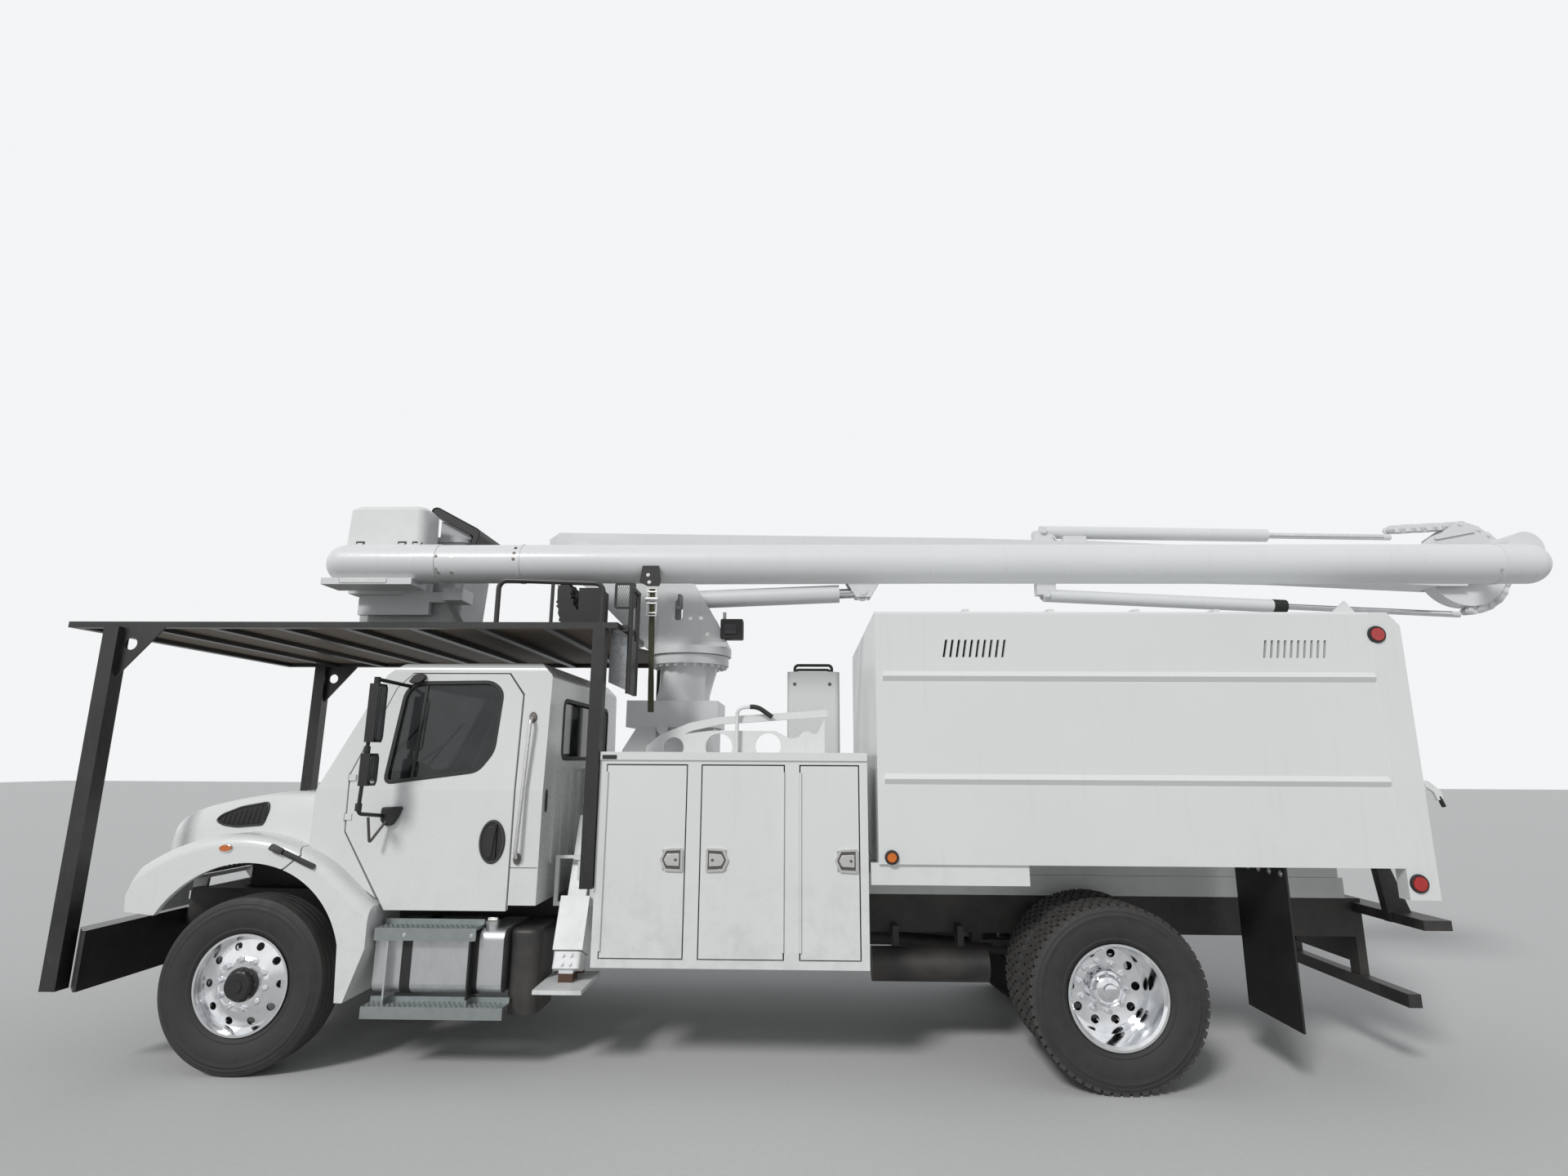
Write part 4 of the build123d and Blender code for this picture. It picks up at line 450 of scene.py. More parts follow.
def circle(centre, across, beside, radius, count, phase=0.0):  # points round a centre, in two directions
    turns = [math.tau * (index + phase) / count for index in range(count)]
    return [centre + (across * math.cos(turn) + beside * math.sin(turn)) * radius for turn in turns]


class Stock:  # a mesh being shaped
    def __init__(self):
        self.mesh = bmesh.new()

    def skin(self, rings, closed=False):  # walls between rings of points
        made = [[self.mesh.verts.new(point) for point in ring] for ring in rings]
        pairs = list(zip(made, made[1:]))
        if closed:
            pairs.append((made[-1], made[0]))
        for ring, following in pairs:
            for index in range(len(ring)):
                near = (index + 1) % len(ring)
                self.mesh.faces.new((ring[index], ring[near], following[near], following[index]))
        if not closed:
            self.mesh.faces.new(list(reversed(made[0])))
            self.mesh.faces.new(made[-1])
        return self

    def box(self, low, high):
        outline = ((low[0], low[1]), (high[0], low[1]), (high[0], high[1]), (low[0], high[1]))
        return self.skin([[(x, y, z) for x, y in outline] for z in (low[2], high[2])])

    def slab(self, outline, start, end):  # an outline in X and Z, from one Y to another
        return self.skin([[(x, y, z) for x, z in outline] for y in (start, end)])

    def rod(self, start, end, radius, sides=20):
        return self.tube([start, end], radius, sides)

    def tube(self, path, radius, sides=12):
        path = [Vector(point) for point in path]
        rings = []
        across = None
        for index, point in enumerate(path):
            ahead = (path[min(index + 1, len(path) - 1)] - path[max(index - 1, 0)]).normalized()
            if across is None:
                across = ahead.orthogonal().normalized()
            across = (across - ahead * across.dot(ahead)).normalized()
            rings.append(circle(point, across, ahead.cross(across), radius, sides))
        return self.skin(rings)

    def spin(self, profile, centre, sides=48, axis="Y"):  # a closed profile of (reach, radius)
        rings = []
        for index in range(sides):
            turn = math.tau * index / sides
            ring = []
            for reach, radius in profile:
                u, v = radius * math.cos(turn), radius * math.sin(turn)
                ring.append(Vector(centre) + Vector({"X": (reach, u, v), "Y": (u, reach, v),
                                                     "Z": (u, v, reach)}[axis]))
            rings.append(ring)
        return self.skin(rings, closed=True)

    def take(self, mesh):
        self.mesh.from_mesh(mesh)
        bpy.data.meshes.remove(mesh)
        return self

    def piece(self, name, body, material, slot=None, bevel=0.0, sharp=35, replaces=()):
        bmesh.ops.remove_doubles(self.mesh, verts=self.mesh.verts, dist=0.00002)
        bmesh.ops.dissolve_degenerate(self.mesh, edges=self.mesh.edges, dist=0.00002)
        bmesh.ops.recalc_face_normals(self.mesh, faces=self.mesh.faces)
        data = bpy.data.meshes.new(name)
        self.mesh.to_mesh(data)
        self.mesh.free()
        data.materials.append(material)
        data.polygons.foreach_set("use_smooth", [True] * len(data.polygons))
        data.set_sharp_from_angle(angle=math.radians(sharp))
        made = bpy.data.objects.new(name, data)
        bpy.context.scene.collection.objects.link(made)
        if bevel:
            rounding = made.modifiers.new("rounding", "BEVEL")
            rounding.width = bevel
            rounding.segments = 2
            rounding.limit_method = "ANGLE"
        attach(made, body)
        slot or slotOf[material]
        if replaces:
            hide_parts(*replaces)
        return made


def touch(names, x, z, sign):  # where a line across the truck first meets these nodes, from outside
    found = None
    for name in names.split():
        hit, point = nodes[name].ray_cast(Vector((x, sign * 3, z)), Vector((0, -sign, 0)))[:2]
        if hit and (found is None or point.y * sign > found * sign):
            found = point.y
    return found


def cling(names, outline, sign, lift, depth, fine=0.03):  # a plate that follows the surface behind it
    stock = Stock()
    face = stock.mesh.faces.new([stock.mesh.verts.new((x, 0, z)) for x, z in outline])
    bmesh.ops.triangulate(stock.mesh, faces=[face])
    for turn in range(6):
        long = [edge for edge in stock.mesh.edges if edge.calc_length() > fine * 1.6]
        if not long:
            break
        bmesh.ops.subdivide_edges(stock.mesh, edges=long, cuts=1)
        bmesh.ops.triangulate(stock.mesh, faces=stock.mesh.faces)
    known = sign * bodyHalf
    for vert in stock.mesh.verts:
        known = touch(names, vert.co.x, vert.co.z, sign) or known
        vert.co.y = known + sign * lift
    grown = bmesh.ops.extrude_face_region(stock.mesh, geom=list(stock.mesh.faces))
    for vert in (one for one in grown["geom"] if isinstance(one, bmesh.types.BMVert)):
        vert.co.y -= sign * depth
    return stock


# Growing repeats with geometry nodes

class Grower(Bench):
    def __init__(self, name, sizes):
        super().__init__(bpy.data.node_groups.new(name, "GeometryNodeTree"))
        face = self.tree.interface
        face.new_socket("Geometry", in_out="INPUT", socket_type="NodeSocketGeometry")
        for label, kind in sizes.items():
            face.new_socket(label, in_out="INPUT", socket_type="NodeSocket" + kind)
        face.new_socket("Finish", in_out="INPUT", socket_type="NodeSocketMaterial")
        face.new_socket("Geometry", in_out="OUTPUT", socket_type="NodeSocketGeometry")
        self.source = self.tree.nodes.new("NodeGroupInput")

    def given(self, label):
        return Wire(self, self.source.outputs[label])

    def close(self, instances):
        solid = self.add("GeometryNodeRealizeInstances", {}, {"Geometry": instances})
        painted = self.add("GeometryNodeSetMaterial", {}, {"Geometry": solid, "Material": self.given("Finish")})
        end = self.tree.nodes.new("NodeGroupOutput")
        self.tree.links.new(painted.socket, end.inputs[0])
        return self

    def grow(self, material, points=(), facings=(), **values):
        seed = bpy.data.meshes.new("seed")
        seed.from_pydata([tuple(point) for point in points] or [(0, 0, 0)], [], [])
        if facings:
            facing = seed.attributes.new("facing", "FLOAT_VECTOR", "POINT")
            facing.data.foreach_set("vector", [part for one in facings for part in one])
        holder = bpy.data.objects.new("holder", seed)
        bpy.context.scene.collection.objects.link(holder)
        modifier = holder.modifiers.new("grow", "NODES")
        modifier.node_group = self.tree
        given = {**values, "Finish": material}
        for item in self.tree.interface.items_tree:
            label = item.name.replace(" ", "")
            if item.in_out == "INPUT" and label in given:
                modifier[item.identifier] = given[label]
        bpy.context.view_layer.update()
        shaped = bpy.data.meshes.new_from_object(holder.evaluated_get(bpy.context.evaluated_depsgraph_get()))
        holder.modifiers.clear()
        bpy.data.objects.remove(holder)
        bpy.data.meshes.remove(seed)
        return shaped


def boltTree():  # a head on a washer at each seed point, turned to its facing
    g = Grower("boltHeads", {"Radius": "Float", "Height": "Float", "Corners": "Int", "Washer": "Float"})
    height = g.given("Height")
    head = g.add("GeometryNodeMeshCylinder", {}, {"Vertices": g.given("Corners"), "Radius": g.given("Radius"),
                                                  "Depth": height})
    lift = g.add("ShaderNodeCombineXYZ", {}, {"Z": height * 0.5})
    head = g.add("GeometryNodeTransform", {}, {"Geometry": head, "Translation": lift})
    washer = g.add("GeometryNodeMeshCylinder", {}, {"Vertices": 14, "Radius": g.given("Washer"),
                                                    "Depth": height * 0.3})
    bolt = g.add("GeometryNodeJoinGeometry", {}, {"Geometry": [head, washer]})
    facing = g.add("GeometryNodeInputNamedAttribute", {"data_type": "FLOAT_VECTOR"}, {"Name": "facing"})
    turned = g.add("FunctionNodeAlignRotationToVector", {"axis": "Z"}, {"Vector": facing})
    return g.close(g.add("GeometryNodeInstanceOnPoints", {}, {"Points": g.given("Geometry"), "Instance": bolt,
                                                              "Rotation": turned}))


def lugTree():  # a ring of blocks round a wheel's axle
    sizes = {"Count": "Int", "Radius": "Float", "Across": "Float", "Phase": "Float", "Skew": "Float",
             "Lug": "Vector", "Centre": "Vector"}
    g = Grower("treadLugs", sizes)
    lug = g.add("GeometryNodeMeshCube", {}, {"Size": g.given("Lug")})
    skew = g.add("ShaderNodeCombineXYZ", {}, {"Z": g.given("Skew")})
    out = g.add("ShaderNodeCombineXYZ", {}, {"Y": g.given("Across"), "Z": g.given("Radius")})
    lug = g.add("GeometryNodeTransform", {}, {"Geometry": lug, "Translation": out, "Rotation": skew})
    points = g.add("GeometryNodePoints", {}, {"Count": g.given("Count"), "Position": g.given("Centre")})
    index = g.add("GeometryNodeInputIndex")
    angle = (index + g.given("Phase")) / g.given("Count") * math.tau
    around = g.add("ShaderNodeCombineXYZ", {}, {"Y": angle})
    turned = g.add("FunctionNodeEulerToRotation", {}, {"Euler": around})
    return g.close(g.add("GeometryNodeInstanceOnPoints", {}, {"Points": points, "Instance": lug,
                                                              "Rotation": turned}))


bolts = boltTree()
lugs = lugTree()


def ring(centre, radius, count, facing, phase=0.0):  # seed points on a circle square to facing
    facing = Vector(facing).normalized()
    across = facing.orthogonal().normalized()
    return circle(Vector(centre), across, facing.cross(across), radius, count, phase)


def boltPiece(name, body, points, facing, material, radius, height, corners=6, washer=1.5, slot=None):
    facings = [facing] * len(points) if isinstance(facing[0], (int, float)) else facing
    grown = bolts.grow(material, points, facings, Radius=radius, Height=height, Corners=corners,
                       Washer=radius * washer)
    return Stock().take(grown).piece(name, body, material, slot)


# Tyres, hubs and nuts

tyre = {
    "halfWidth": 0.139,
    "shoulder": 0.018,  # how far the flank's top lies under the tread
    "grooves": (-0.074, -0.026, 0.026, 0.074),
    "grooveWidth": 0.010,
    "grooveDepth": 0.014,
    "steps": 120,
    "lugRows": ((-0.108, 0.036, 0.0, 0.12), (-0.058, 0.044, 0.5, 0.2), (0.0, 0.040, 0.0, -0.2),
                (0.058, 0.044, 0.5, 0.2), (0.108, 0.036, 0.0, 0.12)),  # across, width, phase, skew
    "lugCount": 58,
    "lugLength": 0.040,
    "lugDepth": 0.016,
}


def flank(radius, side):  # one side of the section, from its bead to its shoulder
    half = tyre["halfWidth"]
    points = ((0.093, 0.288), (0.100, 0.297), (0.108, 0.304), (0.115, 0.316), (0.121, 0.322), (0.123, 0.330),
              (0.121, 0.336), (0.129, 0.356), (0.136, 0.384), (half, 0.412), (half, 0.430),
              (0.137, radius - 0.070), (0.1385, radius - 0.066), (0.1365, radius - 0.062),
              (0.132, radius - 0.045), (0.1335, radius - 0.041), (0.131, radius - 0.037),
              (0.126, radius - 0.022), (0.121, radius - 0.012))
    return [(side * reach, size) for reach, size in points]


def ribbedTread(radius):
    points = [(0.116, radius - 0.006), (0.104, radius - 0.003)]
    half = tyre["grooveWidth"] / 2
    for place in reversed(tyre["grooves"]):
        deep = radius - tyre["grooveDepth"]
        points += [(place + half, radius - 0.001), (place + half * 0.6, deep),
                   (place - half * 0.6, deep), (place - half, radius - 0.001)]
    return points + [(-0.104, radius - 0.003), (-0.116, radius - 0.006)]


for side, sign in sides:
    centre = middle(f"tyre_front_{side}")
    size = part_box(f"tyre_front_{side}")[1].z - centre.z
    profile = flank(size, 1) + ribbedTread(size) + list(reversed(flank(size, -1)))
    Stock().spin(profile, centre, tyre["steps"]).piece(
        f"frontTyre_{side}", f"wheel_front_{side}", frontRubber,
        replaces=[f"tyre_front_{side}"])
    low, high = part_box(f"tyres_rear_{side}")
    size = (high.z - low.z) / 2
    stock = Stock()
    for y in (low.y + tyre["halfWidth"] + 0.001, high.y - tyre["halfWidth"] - 0.001):
        centre = Vector((rearAxle.x, y, rearAxle.z))
        root = size - tyre["lugDepth"]
        tread = [(0.112, root - 0.001), (0, root), (-0.112, root - 0.001)]
        profile = flank(size, 1) + tread + list(reversed(flank(size, -1)))
        stock.spin(profile, centre, tyre["steps"])
        for across, width, phase, skew in tyre["lugRows"]:
            block = (tyre["lugLength"], width, tyre["lugDepth"] + 0.006)
            stock.take(lugs.grow(rearRubber, Count=tyre["lugCount"], Across=across, Phase=phase, Skew=skew,
                                 Radius=size - block[2] / 2 - 0.0006, Lug=block, Centre=tuple(centre)))
    stock.piece(f"rearTyres_{side}", f"wheels_rear_{side}", rearRubber,
                replaces=[f"tyres_rear_{side}"])

hub = {
    "nutCircle": 0.143,
    "nuts": 10,
    "nutRadius": 0.0175,
    "capBolts": 8,
    # out from the tyre's middle: the nuts' face and height, then the cap bolts' face, circle, radius and height
    "front": (0.094, 0.030, 0.111, 0.090, 0.007, 0.007),
    "rear": (-0.157, 0.042, -0.076, 0.096, 0.008, 0.010),
    "frontCap": ((0.090, 0.0), (0.090, 0.100), (0.104, 0.102), (0.110, 0.096), (0.112, 0.084), (0.146, 0.080),
                 (0.152, 0.074), (0.153, 0.040), (0.160, 0.036), (0.160, 0.0)),
    "rearCap": ((-0.156, 0.0), (-0.156, 0.112), (-0.150, 0.116), (-0.090, 0.110), (-0.078, 0.104),
                (-0.074, 0.088), (-0.040, 0.082), (-0.030, 0.070), (-0.026, 0.045), (-0.010, 0.040),
                (-0.006, 0.030), (-0.006, 0.0)),
}
for side, sign in sides:
    out = (0, sign, 0)
    outer = sign * (max(abs(y.y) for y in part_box(f"tyres_rear_{side}")) - tyre["halfWidth"] - 0.001)
    rear = Vector((rearAxle.x, outer, rearAxle.z))
    for label, body, centre, capFinish, capSlot, boltFinish in (
            ("front", f"wheel_front_{side}", middle(f"tyre_front_{side}"),
             blackPlastic, "black_steel", darkSteel),
            ("rear", f"wheels_rear_{side}", rear, rodChrome, "wheel_alloy", rodChrome)):
        nutFace, nutHeight, boltFace, boltCircle, boltRadius, boltHeight = hub[label]
        nuts = ring(centre + Vector(out) * nutFace, hub["nutCircle"], hub["nuts"], out, 0.5)
        boltPiece(f"{label}Nuts_{side}", body, nuts, out, rodChrome, hub["nutRadius"], nutHeight, 6, 1.25)
        cap = [(sign * reach, size) for reach, size in hub[label + "Cap"]]
        Stock().spin(cap, centre, 40).piece(f"{label}Hub_{side}", body, capFinish, slot=capSlot)
        heads = ring(centre + Vector(out) * boltFace, boltCircle, hub["capBolts"], out)
        boltPiece(f"{label}HubBolts_{side}", body, heads, out, boltFinish, boltRadius, boltHeight)
print("wheels dressed")


# Helpers for the trim

def closedLoop(outline, bend, steps=4):  # an outline with its corners rounded
    corners = [Vector(point) for point in outline]
    route = []
    for before, corner, after in zip(corners[-1:] + corners[:-1], corners, corners[1:] + corners[:1]):
        back = (before - corner).normalized() * min(bend, (before - corner).length * 0.45)
        on = (after - corner).normalized() * min(bend, (after - corner).length * 0.45)
        for step in range(steps + 1):
            share = step / steps
            route.append((corner + back * (1 - share)) * (1 - share) + (corner + on * share) * share)
    return route


def onSide(sign, reach):  # places (x, z, lift) on the truck's side; reach is a distance or a rule
    def place(x, z, lift):
        out = reach(z) if callable(reach) else reach
        return Vector((st(x), sign * (out + lift), z))
    return place


def onBack(x):  # places (y, z, lift) on a face that looks backwards
    return lambda y, z, lift: Vector((st(x) + lift, y, z))


def placed(points, sign=1, shift=0.0):  # points counted from the front axle, on one side of the truck
    return [(st(x), sign * y + shift, z) for x, y, z in points]


def plate(outline, place, low, high, bend=0.0):
    outline = closedLoop(outline, bend) if bend else [Vector(point) for point in outline]
    return Stock().skin([[place(u, v, lift) for u, v in outline] for lift in (low, high)])


def band(outline, place, width, low, high, bend=0.0):  # a strip that runs round an outline
    loop = closedLoop(outline, bend) if bend else [Vector(point) for point in outline]
    rings = []
    for before, point, after in zip(loop[-1:] + loop[:-1], loop, loop[1:] + loop[:1]):
        along = (after - before).normalized()
        across = Vector((-along.y, along.x)) * width / 2
        corners = ((-1, low), (-1, high), (1, high), (1, low))
        rings.append([place(*(point + across * way), lift) for way, lift in corners])
    return Stock().skin(rings, closed=True)


def bead(path, radius, out, turns=8):  # a round strip along a closed path that lies square to out
    rings = []
    for before, point, after in zip(path[-1:] + path[:-1], path, path[1:] + path[:1]):
        ahead = (after - before).normalized()
        across = ahead.cross(Vector(out)).normalized()
        rings.append(circle(point, across, ahead.cross(across), radius, turns))
    return Stock().skin(rings, closed=True)


def oval(u, v, halfWidth, halfHeight, count=28):
    turns = [math.tau * index / count for index in range(count)]
    return [(u + halfWidth * math.cos(turn), v + halfHeight * math.sin(turn)) for turn in turns]


def square(u, v, halfWidth, halfHeight):
    return [(u + a * halfWidth, v + c * halfHeight) for a, c in ((-1, -1), (1, -1), (1, 1), (-1, 1))]


# The cab: window rubbers, handles, rails, brackets and mirrors

cab = {
    "half": 1.030,
    "belt": 1.70,
    "lean": 0.0765,
    "rear": 1.780,
    "window": ((0.722, 1.742), (1.330, 1.822), (1.425, 1.950), (1.450, 2.345), (1.375, 2.412), (0.850, 2.404),
               (0.785, 2.340)),
    "rubberWidth": 0.026,
    "divider": ((0.885, 1.775), (0.905, 1.775), (0.932, 2.400), (0.912, 2.400)),
    "handle": (1.470, 1.374, 0.086, 0.138),  # middle and half sizes of the dish
    "paddle": ((-0.034, -0.098), (0.008, -0.098), (0.030, 0.096), (-0.028, 0.102)),  # from the dish's middle
    "rail": ((1.672, 0.985, 2.175), (1.672, 1.048, 2.160), (1.642, 1.080, 1.285), (1.642, 1.020, 1.270)),
    "railRadius": 0.012,
    "railFoot": (0.024, 0.036),
    "seam": ((1.6, 1.212), (1.775, 1.212), (1.775, 1.216), (1.6, 1.216)),
    "upperFoot": ((0.800, 2.405), (0.838, 2.462), (0.905, 2.466), (0.922, 2.438), (0.880, 2.400)),
    "lowerFoot": ((0.735, 1.500), (0.735, 1.588), (0.872, 1.592), (0.845, 1.520), (0.810, 1.470),
                  (0.770, 1.470)),
    "brace": ((0.775, 1.060, 1.50), (0.710, 1.120, 1.37), (0.712, 1.170, 1.53)),
    "flatMirror": (0.776, 1.2775, 2.185, 0.044, 0.176),  # station, reach, height, half sizes
    "roundMirror": (0.766, 1.2775, 1.830, 0.044, 0.090),
    "clamps": ((0.740, 2.39), (0.721, 1.95), (0.706, 1.60)),
    "clampReach": 1.290,
    "clampHalf": 0.024,
    "rearWindow": (0.0, 2.110, 0.655, 0.205),
    "rearVent": (-0.955, 1.630, 0.018, 0.074),
    "screen": ((0.275, 1.700), (0.640, 2.460), 0.890),  # foot, head, half width of its opening
    "wipers": (-0.62, 0.10),
}


def cabSkin(z):  # how far out the cab's side stands at a height
    return cab["half"] - max(0.0, z - cab["belt"]) * cab["lean"]


for side, sign in sides:
    door = f"door_{side}"
    skin = onSide(sign, cabSkin)
    band(cab["window"], skin, cab["rubberWidth"], -0.012, 0.005, 0.05).piece(
        f"windowRubber_{side}", door, flapRubber, bevel=0.003)
    plate(cab["divider"], skin, -0.014, -0.006).piece(f"windowDivider_{side}", door, blackPlastic, bevel=0.002)
    x, z, halfWide, halfHigh = cab["handle"]
    plate(oval(x, z, halfWide, halfHigh), skin, -0.004, 0.006).piece(
        f"handleDish_{side}", door, blackPlastic, bevel=0.003)
    band(oval(x, z, halfWide - 0.010, halfHigh - 0.010), skin, 0.010, 0.004, 0.012).piece(
        f"handleRim_{side}", door, cabPlastic, bevel=0.002)
    plate([(x + u, z + v) for u, v in cab["paddle"]], skin, 0.004, 0.026, 0.018).piece(
        f"handlePaddle_{side}", door, blackPlastic, bevel=0.005)
    Stock().tube(rounded(placed(cab["rail"], sign), 0.05), cab["railRadius"], 14).piece(
        f"grabRail_{side}", "chassis", zincSteel)
    for index, (x, y, z) in enumerate((cab["rail"][0], cab["rail"][-1])):
        plate(oval(x, z, *cab["railFoot"]), skin, -0.002, 0.014).piece(
            f"railFoot{index}_{side}", "chassis", darkSteel, bevel=0.003)
    # a thin black strip on the white cab: painted shade standing for the groove of the panel seam
    plate(cab["seam"], skin, -0.001, 0.0006).piece(f"cornerSeam_{side}", "chassis", blackPlastic, "white_paint")
    for label in ("upperFoot", "lowerFoot"):
        plate(cab[label], skin, -0.002, 0.034, 0.02).piece(f"{label}_{side}", door, blackPlastic, bevel=0.006)
    Stock().tube(rounded(placed(cab["brace"], sign), 0.02), 0.009, 10).piece(
        f"mirrorBrace_{side}", door, darkSteel)
    for label in ("flatMirror", "roundMirror"):
        x, y, z, halfWide, halfHigh = cab[label]
        pane = square(sign * y, z, halfWide, halfHigh)
        plate(pane, onBack(x), -0.001, 0.004, 0.03).piece(
            f"{label}Glass_{side}", door, mirrorGlass, bevel=0.001)
        band(pane, onBack(x), 0.010, -0.004, 0.009, 0.03).piece(
            f"{label}Bezel_{side}", door, blackPlastic, bevel=0.002)
    clamps = Stock()
    for x, z in cab["clamps"]:
        foot, head = ((st(x), sign * cab["clampReach"], z + way * cab["clampHalf"]) for way in (-1, 1))
        clamps.rod(foot, head, 0.020, 16)
    clamps.piece(f"mirrorClamps_{side}", door, blackPlastic, bevel=0.003)

y, z, halfWide, halfHigh = cab["rearWindow"]
band(square(y, z, halfWide, halfHigh), onBack(cab["rear"]), 0.028, -0.004, 0.006, 0.07).piece(
    "rearWindowRubber", "chassis", flapRubber, bevel=0.003)
plate(oval(*cab["rearVent"]), onBack(cab["rear"]), -0.004, 0.008).piece(
    "rearVent", "chassis", blackPlastic, bevel=0.003)


def onScreen(y, up, lift):  # a place on the cab's front slope, up counting metres along it from its foot
    (footX, footZ), (headX, headZ), half = cab["screen"]
    slope = Vector((headX - footX, 0, headZ - footZ)).normalized()
    return Vector((st(footX), y, footZ)) + slope * up + Vector((-slope.z, 0, slope.x)) * lift


band(square(0, 0.460, cab["screen"][2] - 0.004, 0.3565), onScreen, 0.030, -0.010, 0.005, 0.06).piece(
    "screenRubber", "chassis", flapRubber, bevel=0.003)
for index, pivot in enumerate(cab["wipers"]):
    wiper = Stock().tube([onScreen(pivot, 0.05, 0.016), onScreen(pivot + 0.05, 0.10, 0.020),
                          onScreen(pivot + 0.42, 0.34, 0.006)], 0.007, 8)
    wiper.tube([onScreen(pivot + 0.30, 0.14, -0.006), onScreen(pivot + 0.54, 0.56, -0.006)], 0.008, 8)
    wiper.rod(onScreen(pivot, 0.05, -0.01), onScreen(pivot, 0.05, 0.026), 0.015, 14)
    wiper.piece(f"wiper{index}", "chassis", blackPlastic)
print("cab dressed")


# The hood: side vents, fender lamps and rubber latches

hoodTrim = {
    "vent": ((-0.545, 1.476), (-0.500, 1.515), (-0.343, 1.569), (-0.122, 1.605), (-0.105, 1.562),
             (-0.140, 1.462), (-0.361, 1.442), (-0.480, 1.452)),
    "ventBars": 9,
    "barStart": -0.470,
    "barPitch": 0.042,
    "barFoot": 1.456,
    "lamp": (-0.194, 1.335, 0.036, 0.020),
    "latch": ((0.130, 1.352), (0.400, 1.237), (0.392, 1.208), (0.122, 1.322)),
    "latchGrip": ((0.105, 1.366), (0.190, 1.332), (0.176, 1.296), (0.092, 1.330)),
}


def onHood(x, z, sign, lift):
    return Vector((x, (touch("hood", x, z, sign) or 0) + sign * lift, z))


for side, sign in sides:
    outline = [(st(x), z) for x, z in closedLoop(hoodTrim["vent"], 0.03, 3)]
    cling("hood", outline, sign, 0.003, 0.010).piece(f"hoodVent_{side}", "hood", ventMesh)
    bead([onHood(x, z, sign, 0.003) for x, z in outline], 0.008, (0, sign, 0)).piece(
        f"hoodVentRim_{side}", "hood", blackPlastic)
    bars = Stock()
    for index in range(hoodTrim["ventBars"]):
        x = hoodTrim["barStart"] + index * hoodTrim["barPitch"]
        foot = hoodTrim["barFoot"]
        head = 1.508 + (x + 0.50) * 0.235  # just under the vent's upper edge
        leans = ((-0.012, foot), (0.0, (head + foot) / 2), (0.012, head))
        bars.tube([onHood(st(x + lean), height, sign, 0.005) for lean, height in leans], 0.0035, 6)
    bars.piece(f"hoodVentBars_{side}", "hood", blackPlastic)
    x, z, halfWide, halfHigh = hoodTrim["lamp"]
    for label, spare, lift, material in (("Seat", 0.011, 0.004, rodChrome), ("Lens", 0.0, 0.013, amberLens)):
        outline = [(st(u), v) for u, v in oval(x, z, halfWide + spare, halfHigh + spare)]
        cling("hood", outline, sign, lift, 0.013).piece(f"fenderLamp{label}_{side}", "hood", material)
    for label, lift in (("latch", 0.016), ("latchGrip", 0.026)):
        outline = [(st(x), z) for x, z in closedLoop(hoodTrim[label], 0.012, 3)]
        cling("hood rear_fenders cab_shell", outline, sign, lift, 0.012).piece(
            f"hood{label.capitalize()}_{side}", "chassis", flapRubber, sharp=50)
print("hood dressed")


# The hood guard's stand with its tie-down strap, and the rest's worn rubber

guardTrim = {
    "panel": ((2.186, 2.752), (2.306, 2.700), (2.306, 2.352), (2.186, 2.405)),
    "panelReach": 1.066,
    "springBox": (2.228, 3.034, 0.066, 0.086),
    "springReach": 0.862,
    "strapPlate": ((2.318, 3.282), (2.440, 3.282), (2.456, 3.170), (2.446, 3.130), (2.360, 3.130),
                   (2.300, 3.160)),
    "plateBolts": ((2.362, 3.212), (2.372, 3.158)),
    "plateReach": 0.746,
    "buckle": (2.398, 3.010, 0.034, 0.100),
    "buckleBars": (-0.8, -0.1, 0.75),  # shares of its half height
    "strap": ((2.398, 3.112), (2.401, 2.900), (2.410, 2.560), (2.420, 2.226)),
    "strapWidth": 0.040,
    "ragged": ((1.700, 3.142), (1.745, 3.160), (1.792, 3.152), (1.800, 3.060), (1.838, 2.968), (1.872, 2.942),
               (1.872, 2.796), (1.742, 2.796), (1.725, 2.900), (1.700, 3.000)),
    "layers": (-0.735, 0.066, 0.058),  # the first one's place across the truck, pitch and thickness
}
plate(guardTrim["panel"], onSide(-1, guardTrim["panelReach"]), 0.0, 0.006).piece(
    "standPanel", "chassis", greySheet)
x, z, halfWide, halfHigh = guardTrim["springBox"]
place = onSide(-1, guardTrim["springReach"])
band(square(x, z, halfWide, halfHigh), place, 0.016, 0.0, 0.020, 0.012).piece(
    "springBox", "chassis", guardBlack, bevel=0.002)
springs = Stock()
for row in range(4):
    height = z + halfHigh * (0.6 - row * 0.4)
    turns = [(x - halfWide + halfWide * index / 9, height + (0.018 if index % 2 else -0.018))
             for index in range(19)]
    springs.tube([place(u, v, 0.010) for u, v in turns], 0.0035, 6)
springs.piece("springs", "chassis", darkSteel)
place = onSide(-1, guardTrim["plateReach"])
plate(guardTrim["strapPlate"], place, 0.0, 0.010, 0.008).piece(
    "strapPlate", "upper_boom", guardBlack, bevel=0.002)
heads = [place(u, v, 0.010) for u, v in guardTrim["plateBolts"]]
boltPiece("strapPlateBolts", "upper_boom", heads, (0, -1, 0), zincSteel, 0.009, 0.008)
x, z, halfWide, halfHigh = guardTrim["buckle"]
buckle = band(square(x, z, halfWide, halfHigh), place, 0.010, 0.012, 0.026, 0.012)
for share in guardTrim["buckleBars"]:
    height = z + halfHigh * share
    buckle.rod(place(x - halfWide, height, 0.019), place(x + halfWide, height, 0.019), 0.009, 14)
